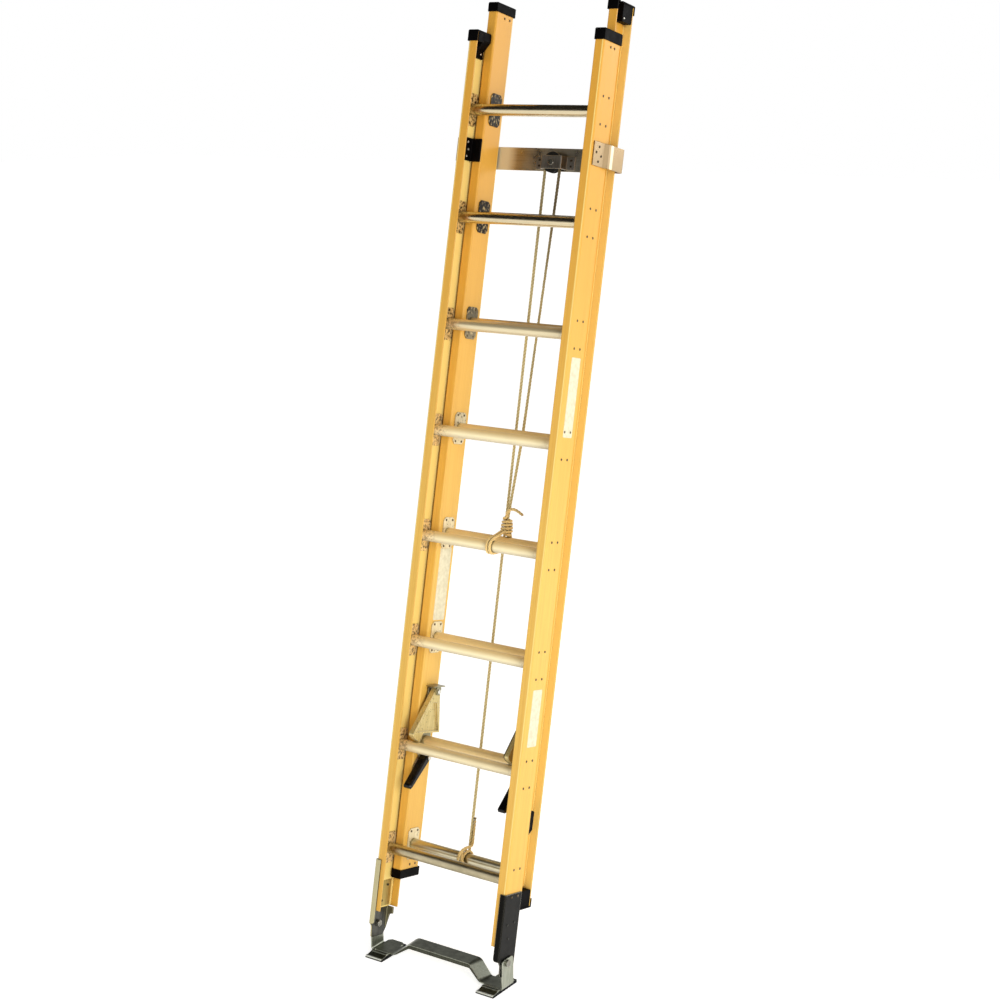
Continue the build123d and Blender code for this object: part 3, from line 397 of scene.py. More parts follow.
def sheet_metal(name, dark, light, rough, brushing=(300.0, 300.0, 12.0), edge=None, corner=0.0015):
    # Rolled or plated sheet: a brushed grain, blotches, and edges lighter as wear and as a painted
    # highlight, or painted dark as shade where a dark edge colour is given
    material, tree, shader = new_material(name)
    grain = noise(tree, brushing)
    blotches = noise(tree, (28.0, 28.0, 28.0), 4.0, 0.6)
    blotched = remap(tree, blotches, 0.0, 0.35)
    normal, turned_over = rounded(tree, corner)
    # The edge colour: lighter as wear and a painted highlight, unless a colour is given, which paints a
    # highlight or shade
    edge_wear_and_light = edge or lightened(light, 1.25)
    tone = ramp(tree, grain, [(0.25, dark), (0.75, light)])
    colour = overlaid(tree, tone, [(blotched, dark), (turned_over, edge_wear_and_light)])
    link(tree, colour, shader.inputs["Base Color"])
    link(tree, remap(tree, blotches, rough - 0.06, rough + 0.10), shader.inputs["Roughness"])
    set_inputs(shader, {"Metallic": 1.0})
    bump(tree, shader, grain, 0.06, 0.0002, normal)
    return material


def plate_metal():
    # Stamped rung plate with edges painted dark as shade: pitted, dull and dark towards the top, and stained
    # in front
    # Painted shade: dark brown along the plate's edges, where the gaps round it are in shade
    material = sheet_metal("plate_metal", (0.66, 0.54, 0.30), (0.95, 0.84, 0.58), 0.32,
                           edge=(0.12, 0.08, 0.03))
    tree = material.node_tree
    through, along = place_on_ladder(tree)[1:]
    speckle = noise(tree, (120.0, 120.0, 120.0))
    pits = ramp(tree, speckle, [(0.33, (0.10, 0.07, 0.03)), (0.40, (0.80, 0.68, 0.42))])
    dull = ramp(tree, speckle, [
        (0.46, (0.008, 0.006, 0.003)),
        (0.58, (0.07, 0.05, 0.025)),
        (0.68, (0.42, 0.31, 0.14)),
    ])
    stain = ramp(tree, speckle, [
        (0.40, (0.06, 0.04, 0.015)),
        (0.47, (0.55, 0.38, 0.14)),
        (0.56, (0.93, 0.68, 0.28)),
    ])
    pitted = remap(tree, speckle, 0.8, 0.0, 0.34, 0.42)
    upper = remap(tree, along, 0.0, 1.0, 1.45, 1.95)
    front = remap(tree, through, 0.75, 0.0, *FRONT_TO_REAR)
    recoloured(material, [(pitted, pits), (upper, dull), (front, stain)])
    set_inputs(shader_of(material), {"Metallic": 0.30, "Specular IOR Level": 0.12})
    return material


def hook_metal():
    # Passivated hook: yellowish and chalky, with dark pits, edges painted pale as a highlight, and painted
    # shade on a rim of the right one
    # Painted highlight: pale cream along the edges
    material = sheet_metal("hook_metal", (0.50, 0.38, 0.13), (0.74, 0.61, 0.28), 0.36,
                           edge=(0.96, 0.88, 0.62))
    tree = material.node_tree
    across = place_on_ladder(tree)[0]
    pitted = remap(tree, noise(tree, (170.0, 170.0, 170.0)), 0.75, 0.0, 0.30, 0.37)
    # Painted shade: near black on a rim of the right hook, its edge seen in shade
    shaded_right_rim = within(tree, across, (0.10, 0.12), (0.1580, 0.1600), 0.9)
    recoloured(material, [(pitted, (0.12, 0.09, 0.03)), (shaded_right_rim, (0.03, 0.025, 0.012))])
    set_inputs(shader_of(material), {"Metallic": 0.45})
    return material


def strap_metal():
    # Pulley strap: painted light making its left end pale, dull legs along the rails, and a band at the
    # rail's corner painted pale as a highlight
    material = sheet_metal("strap_metal", (0.44, 0.39, 0.29), (0.64, 0.57, 0.44), 0.30,
                           brushing=(12.0, 300.0, 300.0))
    tree = material.node_tree
    across, through = place_on_ladder(tree)[:2]
    # Painted light: the left end pale and less metallic, where light falls on it
    lit_left_end = remap(tree, across, 1.0, 0.0, -0.152, -0.118)
    leg = remap(tree, size_of(tree, across), 0.0, 1.0, 0.212, 0.216)
    # Painted highlight: a pale band on the legs where the strap bends round the rail's corner
    corner_highlight = times(tree, leg, within(tree, through, (0.028, 0.031), (0.041, 0.045)))
    recoloured(material, [
        (lit_left_end, (0.72, 0.66, 0.46)),
        (leg, (0.40, 0.285, 0.155)),
        (corner_highlight, (0.80, 0.70, 0.48)),
    ])
    link(tree, remap(tree, lit_left_end, 1.0, 0.35, 0.0, 1.0), shader_of(material).inputs["Metallic"])
    return material


def foot_steel():
    # Painted foot bracket: worn and painted with a highlight along its bends, worn thin on the left foot,
    # and painted light on the front of the left foot
    # Pale grey edges: wear and a painted highlight along the bends
    material = sheet_metal("foot_steel", (0.0060, 0.0058, 0.0050), (0.013, 0.0127, 0.011), 0.36,
                           edge=(0.30, 0.29, 0.24), corner=0.0035)
    tree = material.node_tree
    across = place_on_ladder(tree)[0]
    back = facing(tree)[1]
    scrapes = noise(tree, (30.0, 30.0, 9.0), 5.0, 0.65)
    thin_paint = ramp(tree, scrapes, [(0.35, (0.05, 0.05, 0.045)), (0.65, (0.16, 0.16, 0.14))])
    left_foot = remap(tree, across, 1.0, 0.0, -0.02, 0.02)
    # Painted light: the front of the left foot pale, where light from the front left falls on it
    lit_left_front = times(tree, left_foot, remap(tree, back, 1.0, 0.0, -0.9, -0.6))
    recoloured(material, [(left_foot, thin_paint), (lit_left_front, (0.50, 0.45, 0.26))])
    return material


def shoe_steel():
    # Plated shoe: dirt and painted shade on what faces up, clean sides and slopes, and a painted highlight
    # on the toe bead
    material = sheet_metal("shoe_steel", (0.26, 0.275, 0.22), (0.44, 0.455, 0.37), 0.34,
                           edge=(0.66, 0.66, 0.56), corner=0.002)
    tree = material.node_tree
    up = facing(tree)[2]
    back = split(tree, coordinate(tree, "Object"))[1]
    dirt = noise(tree, (40.0, 40.0, 40.0), 5.0, 0.65)
    # Dirt and painted shade: dark on what faces up
    top_shade_and_dirt = ramp(tree, dirt, [(0.35, (0.034, 0.037, 0.020)), (0.65, (0.090, 0.095, 0.064))])
    level = remap(tree, up, 0.0, 1.0, 0.80, 0.96)
    # Painted highlight: near white on the upward faces at the very front of the toe
    foremost = remap(tree, back, 1.0, 0.0, -0.0575, -0.0555)
    toe_highlight = times(tree, foremost, remap(tree, up, 0.0, 1.0, 0.2, 0.5))
    recoloured(material, [(level, top_shade_and_dirt), (toe_highlight, (0.85, 0.86, 0.78))])
    return material


def moulding(name, colour, rough, gloss=0.10):
    # Moulded plastic or rubber: a fine spark-eroded grain, scuffs, and corners painted lighter as a
    # highlight
    material, tree, shader = new_material(name)
    grain = noise(tree, (700.0, 700.0, 700.0), 2.0)
    scuffs = noise(tree, (45.0, 45.0, 45.0), 5.0, 0.7)
    scuffed = remap(tree, scuffs, 0.0, 0.55, 0.45, 0.75)
    normal, turned_over = rounded(tree, 0.002)
    tone = blended(tree, scuffed, colour, lightened(colour, 1.6, 0.001))
    # Painted highlight: lighter along the corners
    edged = blended(tree, turned_over, tone, lightened(colour, 2.0, 0.006))
    link(tree, edged, shader.inputs["Base Color"])
    link(tree, remap(tree, scuffs, rough - 0.08, rough + 0.10), shader.inputs["Roughness"])
    set_inputs(shader, {"Specular IOR Level": gloss})
    bump(tree, shader, grain, 0.15, 0.0003, normal)
    return material


def rope_fibre(name, dark, light, pulley_darkening):
    # Twisted rope: fine yarns along each strand, a little soiling, darker near the pulley, and painted shade
    # between the strands
    material, tree, shader = new_material(name)
    along = place_on_ladder(tree)[2]
    yarn = noise(tree, (900.0, 900.0, 260.0))
    soiled = remap(tree, noise(tree, (25.0, 25.0, 25.0), 4.0), 0.0, 0.40)
    # Darker towards the pulley, by as much as the given share
    near_pulley = remap(tree, along, 0.0, pulley_darkening, 1.92, 2.20)
    tone = ramp(tree, yarn, [(0.30, dark), (0.70, light)])
    colour = overlaid(tree, tone, [
        (soiled, dark),
        (near_pulley, (0.09, 0.065, 0.035)),
        # Painted shade: darker where the strands meet
        (crevice_shading(tree, 0.004), (0.10, 0.065, 0.025)),
    ])
    link(tree, colour, shader.inputs["Base Color"])
    set_inputs(shader, {"Roughness": 0.80, "Sheen Weight": 0.15})
    bump(tree, shader, yarn, 0.4, 0.0006)
    return material


def sticker_film():
    # Blank vinyl label, slightly yellowed
    material, tree, shader = new_material("sticker_film")
    dust = noise(tree, (80.0, 80.0, 80.0), 4.0)
    colour = ramp(tree, dust, [(0.35, (0.66, 0.60, 0.40)), (0.65, (0.78, 0.73, 0.53))])
    link(tree, colour, shader.inputs["Base Color"])
    link(tree, remap(tree, dust, 0.35, 0.5), shader.inputs["Roughness"])
    return material


AMBER = fibreglass()
RUNG = rung_metal()
PLATE = plate_metal()
STRAP = strap_metal()
HAT = sheet_metal("hat_metal", (0.19, 0.17, 0.14), (0.38, 0.34, 0.29), 0.36,
                  edge=(0.66, 0.60, 0.50), corner=0.003)
ZINC = hook_metal()
STEEL = sheet_metal("lock_steel", (0.18, 0.16, 0.09), (0.40, 0.37, 0.24), 0.38)
FOOT = foot_steel()
FOOT_RIVETS = sheet_metal("foot_rivet_steel", (0.02, 0.02, 0.018), (0.07, 0.07, 0.06), 0.34)
BACKING = sheet_metal("backing_steel", (0.34, 0.26, 0.08), (0.58, 0.46, 0.17), 0.40)
SHOE = shoe_steel()
# Painted shade: the bar's folded front edge much darker than the rest of the shoe
SHADED_BAR_EDGE = sheet_metal("shaded_bar_edge_steel", (0.035, 0.036, 0.026), (0.095, 0.098, 0.072), 0.40, corner=0.001)
BOLT = sheet_metal("bolt_steel", (0.16, 0.155, 0.13), (0.38, 0.37, 0.32), 0.30, edge=(0.70, 0.68, 0.60))
BRIGHT = sheet_metal("bright_steel", (0.50, 0.48, 0.42), (0.76, 0.74, 0.66), 0.26)
DARK_RIVETS = sheet_metal("dark_rivet_metal", (0.03, 0.022, 0.012), (0.10, 0.075, 0.045), 0.34)
RIVETS = sheet_metal("rivet_metal", (0.06, 0.04, 0.02), (0.22, 0.165, 0.10), 0.32)
BLACK = moulding("black_moulding", (0.0014, 0.0011, 0.0012), 0.52, 0.045)
GLOSSY = moulding("finger_plastic", (0.0018, 0.0016, 0.0018), 0.20, 0.26)
WHEEL = moulding("wheel_plastic", (0.010, 0.010, 0.009), 0.38, 0.2)
TREAD = moulding("tread_rubber", (0.004, 0.004, 0.004), 0.62)
LIFT_ROPE = rope_fibre("lift_fibre", (0.62, 0.50, 0.22), (0.92, 0.79, 0.42), 0.50)
HAUL_ROPE = rope_fibre("haul_fibre", (0.58, 0.46, 0.19), (0.88, 0.74, 0.38), 0.80)
KNOT_ROPE = rope_fibre("knot_fibre", (0.78, 0.52, 0.17), (0.97, 0.76, 0.36), 0.0)
LABEL = sticker_film()

# A carried-over node takes the material of the first of these words that its name has
FINISHES = [
    ("rail", AMBER),
    ("rivets", RIVETS),
    ("rung_plates", PLATE),
    ("rung_knot", KNOT_ROPE),
    ("rung", RUNG),
    ("finger", GLOSSY),
    ("cap", BLACK),
    ("guide", BLACK),
    ("strap", STRAP),
    ("hat", HAT),
    ("backing", BACKING),
    ("hook", ZINC),
    ("bolt", BOLT),
    ("axle", BOLT),
    ("pins", BRIGHT),
    ("lock_bracket", STEEL),
    ("foot_bracket", FOOT),
    ("bar", SHOE),
    ("sole", TREAD),
    ("wheel", WHEEL),
    ("rope", KNOT_ROPE),
]


def finish_nodes():
    for name, piece in nodes.items():
        material = next(finish for word, finish in FINISHES if word in name)
        piece.data.materials.clear()
        piece.data.materials.append(material)


finish_nodes()


# Rope, in mm
ROPE_RADIUS = 4.5
STRANDS = 3
STRAND_SIDES = 7
STRAND_SHARE = 0.53
STRAND_SWELL = 1.05
TURN_LENGTH = 30.0
PULLEY_X = 12.0
ROPE_REACH = 24.3
LIFT_LEFT = PULLEY_X - ROPE_REACH
HAUL_RIGHT = PULLEY_X + ROPE_REACH
LIFT_TOP = (LIFT_LEFT, 144.0, 2183.7)
LIFT_END = (3.0, 130.8, 212.4)
END_SHARE = 0.03
TIE_X = 20.0
KNOT = (TIE_X, 108.0, 1141.5)
# From a rung's middle to the middle of a rope on it, and how many times further an octagon's corners are
WRAP_REACH = 20.9
WRAP_CORNER = 1.082
# Points of the smooth line for each stretch of its route
LIFT_POINTS = 300
HAUL_POINTS = 60
KNOT_POINTS = 10


def spline_points(route, resolution):
    # The smooth line that has the route's points as its control points
    curve = bpy.data.curves.new("route", "CURVE")
    curve.dimensions = "3D"
    spline = curve.splines.new("NURBS")
    spline.points.add(len(route) - 1)
    for point, place in zip(spline.points, route):
        point.co = (*place, 1.0)
    spline.order_u = 3
    spline.use_endpoint_u = True
    spline.resolution_u = resolution
    holder = bpy.data.objects.new("route", curve)
    bpy.context.scene.collection.objects.link(holder)
    bpy.context.view_layer.update()
    mesh = bpy.data.meshes.new_from_object(holder)
    points = [v.co.copy() for v in mesh.vertices]
    bpy.data.objects.remove(holder)
    bpy.data.curves.remove(curve)
    bpy.data.meshes.remove(mesh)
    return points


def carried_frames(points):
    # Sideways directions that turn with the line but never twist about it
    before = points[:1] + points[:-1]
    after = points[1:] + points[-1:]
    ahead = [(b - a).normalized() for a, b in zip(before, after)]
    side = ahead[0].orthogonal().normalized()
    frames = []
    for i, direction in enumerate(ahead):
        if i:
            side = ahead[i - 1].rotation_difference(direction) @ side
        side = (side - side.dot(direction) * direction).normalized()
        frames.append((side, direction.cross(side)))
    return frames


def rope_piece(name, route, resolution, material):
    # Three strands laid round the route's line
    points = spline_points([at(*p) for p in route], resolution)
    frames = carried_frames(points)
    strand = STRAND_SHARE * ROPE_RADIUS / MM_PER_METRE
    off = ROPE_RADIUS / MM_PER_METRE - strand
    lean = 2 * math.pi * off * MM_PER_METRE / TURN_LENGTH
    verts, faces = [], []
    for k in range(STRANDS):
        run = 0.0
        first = len(verts)
        for i, (point, (u, v)) in enumerate(zip(points, frames)):
            if i:
                run += (point - points[i - 1]).length
            turn = 2 * math.pi * (run * MM_PER_METRE / TURN_LENGTH + k / STRANDS)
            out = math.cos(turn) * u + math.sin(turn) * v
            along = -math.sin(turn) * u + math.cos(turn) * v
            direction = (u.cross(v) + lean * along).normalized()
            verts += ring(point + off * out, out, direction.cross(out), strand * STRAND_SWELL, STRAND_SIDES)
        add_skin(faces, first, len(points), STRAND_SIDES)
        last = len(verts) - STRAND_SIDES
        faces.append(tuple(first + j for j in reversed(range(STRAND_SIDES))))
        faces.append(tuple(last + j for j in range(STRAND_SIDES)))
    return new_piece(name, verts, faces, material), points


def between(first, second, share):
    return tuple(a + share * (b - a) for a, b in zip(first, second))


def add_lift_fall():
    route = [
        LIFT_END,
        between(LIFT_END, LIFT_TOP, END_SHARE),
        between(LIFT_END, LIFT_TOP, 1.0 - END_SHARE),
        LIFT_TOP,
    ]
    lift, lift_points = rope_piece("lift_rope", route, LIFT_POINTS, LIFT_ROPE)
    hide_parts("rope_lift_fall")
    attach(lift, "base")
    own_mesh(lift)


def add_haul_fall():
    route = [
        (LIFT_LEFT, 144.0, 2184.0),
        (LIFT_LEFT, 144.0, 2208.3),
        (HAUL_RIGHT, 144.0, 2208.3),
        (HAUL_RIGHT, 144.0, 2160.0),
        (35.2, 143.2, 2070.0),
        (23.2, 132.8, 1465.0),
        (22.0, 131.8, 1405.6),
        (21.6, 126.0, 1350.0),
        (TIE_X, 107.0, 1161.5),
    ]
    haul, haul_points = rope_piece("haul_rope", route, HAUL_POINTS, HAUL_ROPE)
    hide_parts("rope_haul_fall")
    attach(haul, "base")


def round_rung(centre, x, angle, lift=1.0):
    # A control point on the octagon round a rung, so that the smooth line lies on the rung
    reach = WRAP_CORNER * WRAP_REACH * lift
    a = math.radians(angle)
    return (x, centre[0] + reach * math.cos(a), centre[1] + reach * math.sin(a))


def add_tie():
    # The rope's doubled loop round the fourth rungs, the turns of its knot and the free tail
    fourth = 3 * PITCH
    front = (BASE_RUNG_Y, BASE_RUNG_START + fourth)
    rear = (FLY_RUNG_Y, FLY_RUNG_START + fourth)
    x, y, z = KNOT
    beside = 4.9

    def loop(loop_x):
        return [
            (loop_x, y - 9.0, z - 3.5),
            (loop_x, 62.0, z - 19.0),
            round_rung(front, loop_x, 120),
            round_rung(front, loop_x, 160),
            round_rung(front, loop_x, 205),
            round_rung(front, loop_x, 250),
            (loop_x, 76.0, 1076.5),
            round_rung(rear, loop_x, -68),
            round_rung(rear, loop_x, -22),
            round_rung(rear, loop_x, 22),
            (loop_x, y + 8.0, z - 9.0),
        ]

    route = [(x + 4.0, y - 2.0, z - 2.0)]
    route += loop(x + beside)
    route += [(x + 2.0, y + 4.0, z + 4.0), (x - 3.0, y - 4.0, z + 2.0)]
    route += loop(x - beside)
    # Turns that close the knot, square corners that climb round the standing part
    corners = [(1.0, -1.0), (1.0, 1.0), (-1.0, 1.0), (-1.0, -1.0)]
    climb = 2.4
    for rise, wide in ((-16.5, 11.5), (-7.0, 13.2), (2.5, 13.2), (12.0, 12.0), (21.0, 10.0)):
        for i, (right, back) in enumerate(corners):
            route.append((x + right * wide, y + back * wide, z + rise + i * climb))
    route += [(x + 1.0, y - 9.0, z + 34.0), (x + 1.5, y - 11.0, z + 46.0), (x + 12.0, y - 11.0, z + 59.0)]
    route += [(x + 34.0, y - 10.0, z + 58.0), (x + 55.0, y - 11.0, z + 46.0)]
    tie = rope_piece("tie_rope", route, KNOT_POINTS, KNOT_ROPE)[0]
    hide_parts("rope_tie")
    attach(tie, "base")


def add_rung_knot():
    # Hitches round the lowest fly rung, with the end laid up beside the fall
    rung = (FLY_RUNG_Y, FLY_RUNG_START)
    # The angle round the rung, the place across, and how far the rope is lifted off the rung
    turns = [
        (0, 3.0, 1.0), (-45, 3.0, 1.0), (-90, 4.0, 1.0), (-135, 6.0, 1.0),
        (-180, 9.0, 1.0), (-225, 11.5, 1.0), (-270, 13.5, 1.0), (-315, 15.0, 1.0),
        (-360, 16.0, 1.0), (-405, 16.5, 1.0), (-450, 17.0, 1.0), (-495, 17.0, 1.05),
        (-540, 14.0, 1.40), (-585, 6.0, 1.42), (-630, 0.0, 1.05), (-675, -4.0, 1.0),
        (-720, -6.2, 1.0), (-765, -6.5, 1.0), (-810, -6.0, 1.0), (-855, -4.0, 1.05),
        (-890, 1.0, 1.45), (-920, 8.0, 1.85), (-950, 12.0, 1.75), (-985, 12.5, 1.45),
    ]
    route = [(3.0, 131.3, 262.0), (3.0, 131.0, 222.0)]
    route += [round_rung(rung, x, angle, lift) for angle, x, lift in turns]
    route += [(11.8, 129.0, 222.0), (11.3, 131.2, 240.0), (10.2, 131.6, 304.0)]
    knot = rope_piece("rung_knot_rope", route, KNOT_POINTS, KNOT_ROPE)[0]
    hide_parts("rung_knot")
    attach(knot, "fly")


add_lift_fall()
add_haul_fall()
add_tie()
add_rung_knot()


# Rivets, in metres: those nearer to the middle than INNER_SIDE are on a rail's inner side
INNER_SIDE = 0.215
SAME_POINT = 1e-6
# The rings of a head, as shares of its radius and its height
HEAD_RINGS = [(1.0, 0.0), (1.0, 0.22), (0.88, 0.62), (0.55, 0.92)]
HEAD_SIDES = 12


def islands(name):
    # The corner points of each separate solid of a node
    mesh = bmesh.new()
    mesh.from_mesh(nodes[name].data)
    bmesh.ops.remove_doubles(mesh, verts=mesh.verts, dist=SAME_POINT)
    left = set(mesh.verts)
    solids = []
    while left:
        stack = [left.pop()]
        corners = []
        while stack:
            vert = stack.pop()
            corners.append(vert.co.copy())
            for edge in vert.link_edges:
                other = edge.other_vert(vert)
                if other in left:
                    left.remove(other)
                    stack.append(other)
        solids.append(corners)
    mesh.free()
    return solids


def dome(verts, faces, centre, out, radius, height):
    # A rivet head with a short collar under a shallow dome
    side = out.orthogonal().normalized()
    over = out.cross(side)
    first = len(verts)
    for share, rise in HEAD_RINGS:
        verts += ring(centre + height * rise * out, side, over, radius * share, HEAD_SIDES)
    add_skin(faces, first, len(HEAD_RINGS), HEAD_SIDES)
    tip = len(verts)
    verts.append(centre + height * out)
    top = tip - HEAD_SIDES
    for j in range(HEAD_SIDES):
        faces.append((top + j, top + (j + 1) % HEAD_SIDES, tip))


def add_rivets(name, body, direction, material, inner_material=None):
    # Rounded heads in the places of the node's plain ones, with another finish on the inner ones
    verts, faces, inner = [], [], []
    for corners in islands(name):
        middle = sum(corners, Vector()) / len(corners)
        out = direction(middle)
        reach = [c.dot(out) for c in corners]
        low, high = min(reach), max(reach)
        radius = max((c - middle - (c - middle).dot(out) * out).length for c in corners)
        seat = middle + (low - middle.dot(out)) * out
        dome(verts, faces, seat, out, radius, high - low)
        inner += [abs(middle.x) < INNER_SIDE] * (len(faces) - len(inner))
    piece = new_piece(name + "_heads", verts, faces, material)
    piece.data.materials.append(inner_material or material)
    for polygon, is_inner in zip(piece.data.polygons, inner):
        polygon.material_index = int(is_inner)
    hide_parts(name)
    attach(piece, body)


def away_from_middle(point):
    return Vector((math.copysign(1.0, point.x), 0.0, 0.0))


def towards_middle(point):
    return -away_from_middle(point)


def away_from_web(point):
    return towards_middle(point) if abs(point.x) < INNER_SIDE else away_from_middle(point)


def forward(point):
    return turned((0.0, -1.0, 0.0))


add_rivets("base_rivets", "base", away_from_middle, RIVETS)
add_rivets("fly_rivets", "fly", towards_middle, RIVETS)
add_rivets("strap_rivets", "base", away_from_web, DARK_RIVETS, BRIGHT)
add_rivets("foot_rivets", "base", away_from_web, FOOT_RIVETS, RIVETS)
add_rivets("hat_rivets", "base", forward, DARK_RIVETS)


# The bar's front edge, folded down over its whole run and fading out at the foot plates, in mm
BAR_TOP = 48.0
FOLD_FRONT = -6.6
FOLD_BACK = -3.2
FOLD_LEAN = 0.64
FOLD_LEAN_DROP = 6.0
FOLD_CORNERS = 4


def add_bar_edge():
    # Half of the edge from the middle outwards: across, back, up, and how deep the fold is there
    half = [
        (0.0, 0.0, BAR_TOP, 11.0),
        (94.0, 0.0, BAR_TOP, 11.0),
        (101.0, 0.0, 47.9, 10.8),
        (107.4, -0.4, 46.9, 10.0),
        (113.2, -1.4, 43.6, 9.0),
        (129.6, -6.2, 29.8, 6.0),
        (146.0, -11.0, 16.0, 3.4),
        (152.0, -12.0, 12.4, 2.0),
    ]
    line = [(-x, y, z, deep) for x, y, z, deep in reversed(half)] + half[1:]
    verts, faces = [], []
    for x, y, z, deep in line:
        lean = FOLD_LEAN * min(1.0, max(0.0, (BAR_TOP - z) / FOLD_LEAN_DROP))
        low_x = x - math.copysign(deep * lean, x)
        low_z = z - deep * math.sqrt(1.0 - lean * lean)
        front, back = y + FOLD_FRONT, y + FOLD_BACK
        section = [(x, front, z), (x, back, z), (low_x, back, low_z), (low_x, front, low_z)]
        verts += [Vector(corner) / MM_PER_METRE for corner in section]
    add_skin(faces, 0, len(line), FOLD_CORNERS)
    last = len(verts) - FOLD_CORNERS
    faces.append(tuple(reversed(range(FOLD_CORNERS))))
    faces.append(tuple(last + j for j in range(FOLD_CORNERS)))
    piece = new_piece("bar_edge", verts, faces, SHADED_BAR_EDGE, smooth=False)
    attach(piece, "shoes")


add_bar_edge()


# Rivets that hold the caps' flaps, one to each flap: the right one's place in mm, and sizes in metres
BASE_FLAP_RIVET = (214.0, 54.0, 2470.0)
FLY_FLAP_RIVET = (211.7, 108.0, 2578.0)
FLAP_RIVET_RADIUS = 0.0032
FLAP_RIVET_HEIGHT = 0.0016


def add_flap_rivets(name, body, spot, out):
    # Points away from the ladder's middle where out is 1, and towards it where out is -1
    x, y, z = spot
    verts, faces = [], []
    for side in SIDES:
        direction = Vector((out * side, 0.0, 0.0))
        dome(verts, faces, at(side * x, y, z), direction, FLAP_RIVET_RADIUS, FLAP_RIVET_HEIGHT)
    piece = new_piece(name, verts, faces, BRIGHT)
    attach(piece, body)


add_flap_rivets("base_flap_rivets", "base", BASE_FLAP_RIVET, -1.0)
add_flap_rivets("fly_flap_rivets", "fly", FLY_FLAP_RIVET, 1.0)


# The part of each base cap that closes the channel between its front wall and its flap, in mm
PLUG_HEIGHTS = (2497.5, 2526.0)
PLUG_OUTLINE = [(193.0, 6.0), (195.2, 4.2), (218.4, 4.2), (218.4, 31.0), (193.0, 31.0)]


def add_cap_plugs():
    count = len(PLUG_OUTLINE)
    verts, faces = [], []
    for side in SIDES:
        low = len(verts)
        high = low + count
        verts += [at(side * x, y, z) for z in PLUG_HEIGHTS for x, y in PLUG_OUTLINE]
        faces += [tuple(low + i for i in range(count)), tuple(high + i for i in reversed(range(count)))]
        faces += [(low + i, high + i, high + (i + 1) % count, low + (i + 1) % count) for i in range(count)]
    piece = new_piece("cap_plugs", verts, faces, BLACK, smooth=False)
    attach(piece, "base")


add_cap_plugs()


# Blank stickers on the rail webs, which all face the ladder's right, in mm
STICKER_CORNER = 4.0
CORNER_STEPS = 4
STICKER_BACK = 0.05
STICKER_FRONT = 0.3


def sticker(name, body, x, y_range, z_range):
    y0, y1 = y_range[0] + STICKER_CORNER, y_range[1] - STICKER_CORNER
    z0, z1 = z_range[0] + STICKER_CORNER, z_range[1] - STICKER_CORNER
    outline = []
    for y, z, start in ((y1, z1, 0.0), (y0, z1, 90.0), (y0, z0, 180.0), (y1, z0, 270.0)):
        for k in range(CORNER_STEPS + 1):
            a = math.radians(start + 90.0 * k / CORNER_STEPS)
            outline.append((y + STICKER_CORNER * math.cos(a), z + STICKER_CORNER * math.sin(a)))
    count = len(outline)
    verts = [at(x + out, y, z) for out in (STICKER_BACK, STICKER_FRONT) for y, z in outline]
    faces = [tuple(range(count, 2 * count)), tuple(reversed(range(count)))]
    faces += [(i, (i + 1) % count, count + (i + 1) % count, count + i) for i in range(count)]
    piece = new_piece(name, verts, faces, LABEL, smooth=False)
    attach(piece, body)


sticker("sticker_upper", "base", BASE_WEB_X, (22.0, 68.0), (1420.0, 1640.0))
sticker("sticker_lower", "base", BASE_WEB_X, (22.0, 68.0), (560.0, 720.0))
sticker("sticker_fly", "fly", -FLY_WEB_X, (86.0, 141.0), (848.0, 1060.0))


# Floor, light and background, in metres
FLOOR_HALF = 40.0
QUAD = [(0, 1, 2, 3)]
CEILING = [(-6.0, -4.5, 4.6), (4.5, -4.5, 4.6), (4.5, 6.0, 4.6), (-6.0, 6.0, 4.6)]
LEFT_WALL = [(-5.4, -1.2, 2.75), (0.2, -5.0, 2.75), (0.2, -5.0, 4.6), (-5.4, -1.2, 4.6)]
LADDER_MIDDLE = (0.0, 0.3, 1.2)
LADDER_FOOT = (0.0, 0.2, 0.3)
WHITE = (1.0, 1.0, 1.0)
WARM_WHITE = (1.0, 0.98, 0.95)


def add_floor():
    # White paper that glows a little, and more so away from the ladder, so that it runs into the background
    material, tree, shader = new_material("studio_floor")
    paper = noise(tree, (3.0, 3.0, 3.0), 2.0)
    colour = ramp(tree, paper, [(0.3, (0.90, 0.90, 0.90)), (0.7, (0.92, 0.92, 0.92))])
    link(tree, colour, shader.inputs["Base Color"])
    set_inputs(shader, {"Roughness": 0.9, "Specular IOR Level": 0.1, "Emission Color": (*WHITE, 1.0)})
    away = add_node(tree, "ShaderNodeVectorMath", operation="LENGTH")
    link(tree, coordinate(tree, "Object"), away.inputs[0])
    glow = remap(tree, away.outputs["Value"], 0.62, 0.68, 0.5, 3.0)
    link(tree, glow, shader.inputs["Emission Strength"])
    half = FLOOR_HALF
    corners = [(-half, -half, 0.0), (half, -half, 0.0), (half, half, 0.0), (-half, half, 0.0)]
    floor = new_piece("floor", corners, QUAD, material, smooth=False)


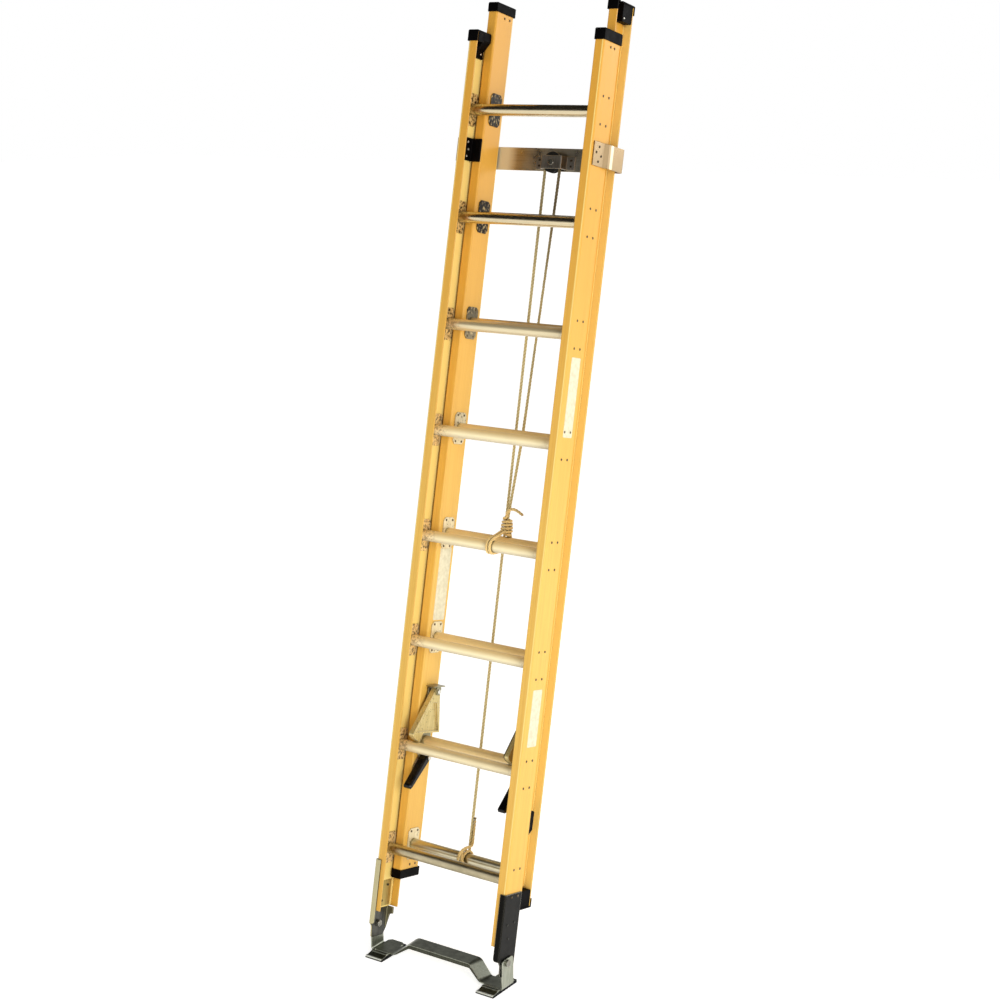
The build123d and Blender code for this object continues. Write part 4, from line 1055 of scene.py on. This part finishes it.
def add_flag(name, corners):
    # A dark studio panel that only shows in what the metal reflects, and neither in a view nor as a shadow
    material, tree, shader = new_material(name + "_cloth")
    weave = noise(tree, (20.0, 20.0, 20.0), 2.0)
    colour = ramp(tree, weave, [(0.3, (0.012, 0.012, 0.012)), (0.7, (0.02, 0.02, 0.02))])
    link(tree, colour, shader.inputs["Base Color"])
    set_inputs(shader, {"Roughness": 1.0, "Specular IOR Level": 0.0})
    flag = new_piece(name, corners, QUAD, material, smooth=False)
    flag.visible_camera = False
    flag.visible_diffuse = False
    flag.visible_shadow = False


def add_world():
    # White in a view and in reflections, and a softer warm light on everything else
    world = bpy.data.worlds.new("studio")
    bpy.context.scene.world = world
    world.use_nodes = True
    tree = world.node_tree
    soft = tree.nodes["Background"]
    set_inputs(soft, {"Color": (*WARM_WHITE, 1.0), "Strength": 0.45})
    white = add_node(tree, "ShaderNodeBackground")
    set_inputs(white, {"Color": (*WHITE, 1.0), "Strength": 1.0})
    path = add_node(tree, "ShaderNodeLightPath")
    seen = larger(tree, path.outputs["Is Camera Ray"], path.outputs["Is Glossy Ray"])
    mix = add_node(tree, "ShaderNodeMixShader")
    link(tree, larger(tree, seen, path.outputs["Is Transmission Ray"]), mix.inputs["Fac"])
    link(tree, soft.outputs[0], mix.inputs[1])
    link(tree, white.outputs[0], mix.inputs[2])
    link(tree, mix.outputs[0], tree.nodes["World Output"].inputs["Surface"])


def add_light(name, place, aim, size, power, colour=WHITE):
    data = bpy.data.lights.new(name, "AREA")
    data.shape = "RECTANGLE"
    data.size, data.size_y = size
    data.energy = power
    data.color = colour
    light = bpy.data.objects.new(name, data)
    bpy.context.scene.collection.objects.link(light)
    light.location = place
    light.rotation_euler = (Vector(aim) - Vector(place)).to_track_quat("-Z", "Y").to_euler()


add_floor()
add_world()
add_flag("ceiling_flag", CEILING)
add_flag("left_flag", LEFT_WALL)
add_light("key", (4.2, -1.9, 1.9), LADDER_MIDDLE, (2.0, 3.0), 139.0, WARM_WHITE)
add_light("fill", (1.5, -5.0, 2.4), LADDER_MIDDLE, (3.0, 3.0), 6.0)
add_light("rim", (2.2, 4.4, 2.8), LADDER_FOOT, (2.0, 1.2), 30.0)

bpy.context.scene.view_settings.view_transform = "Standard"
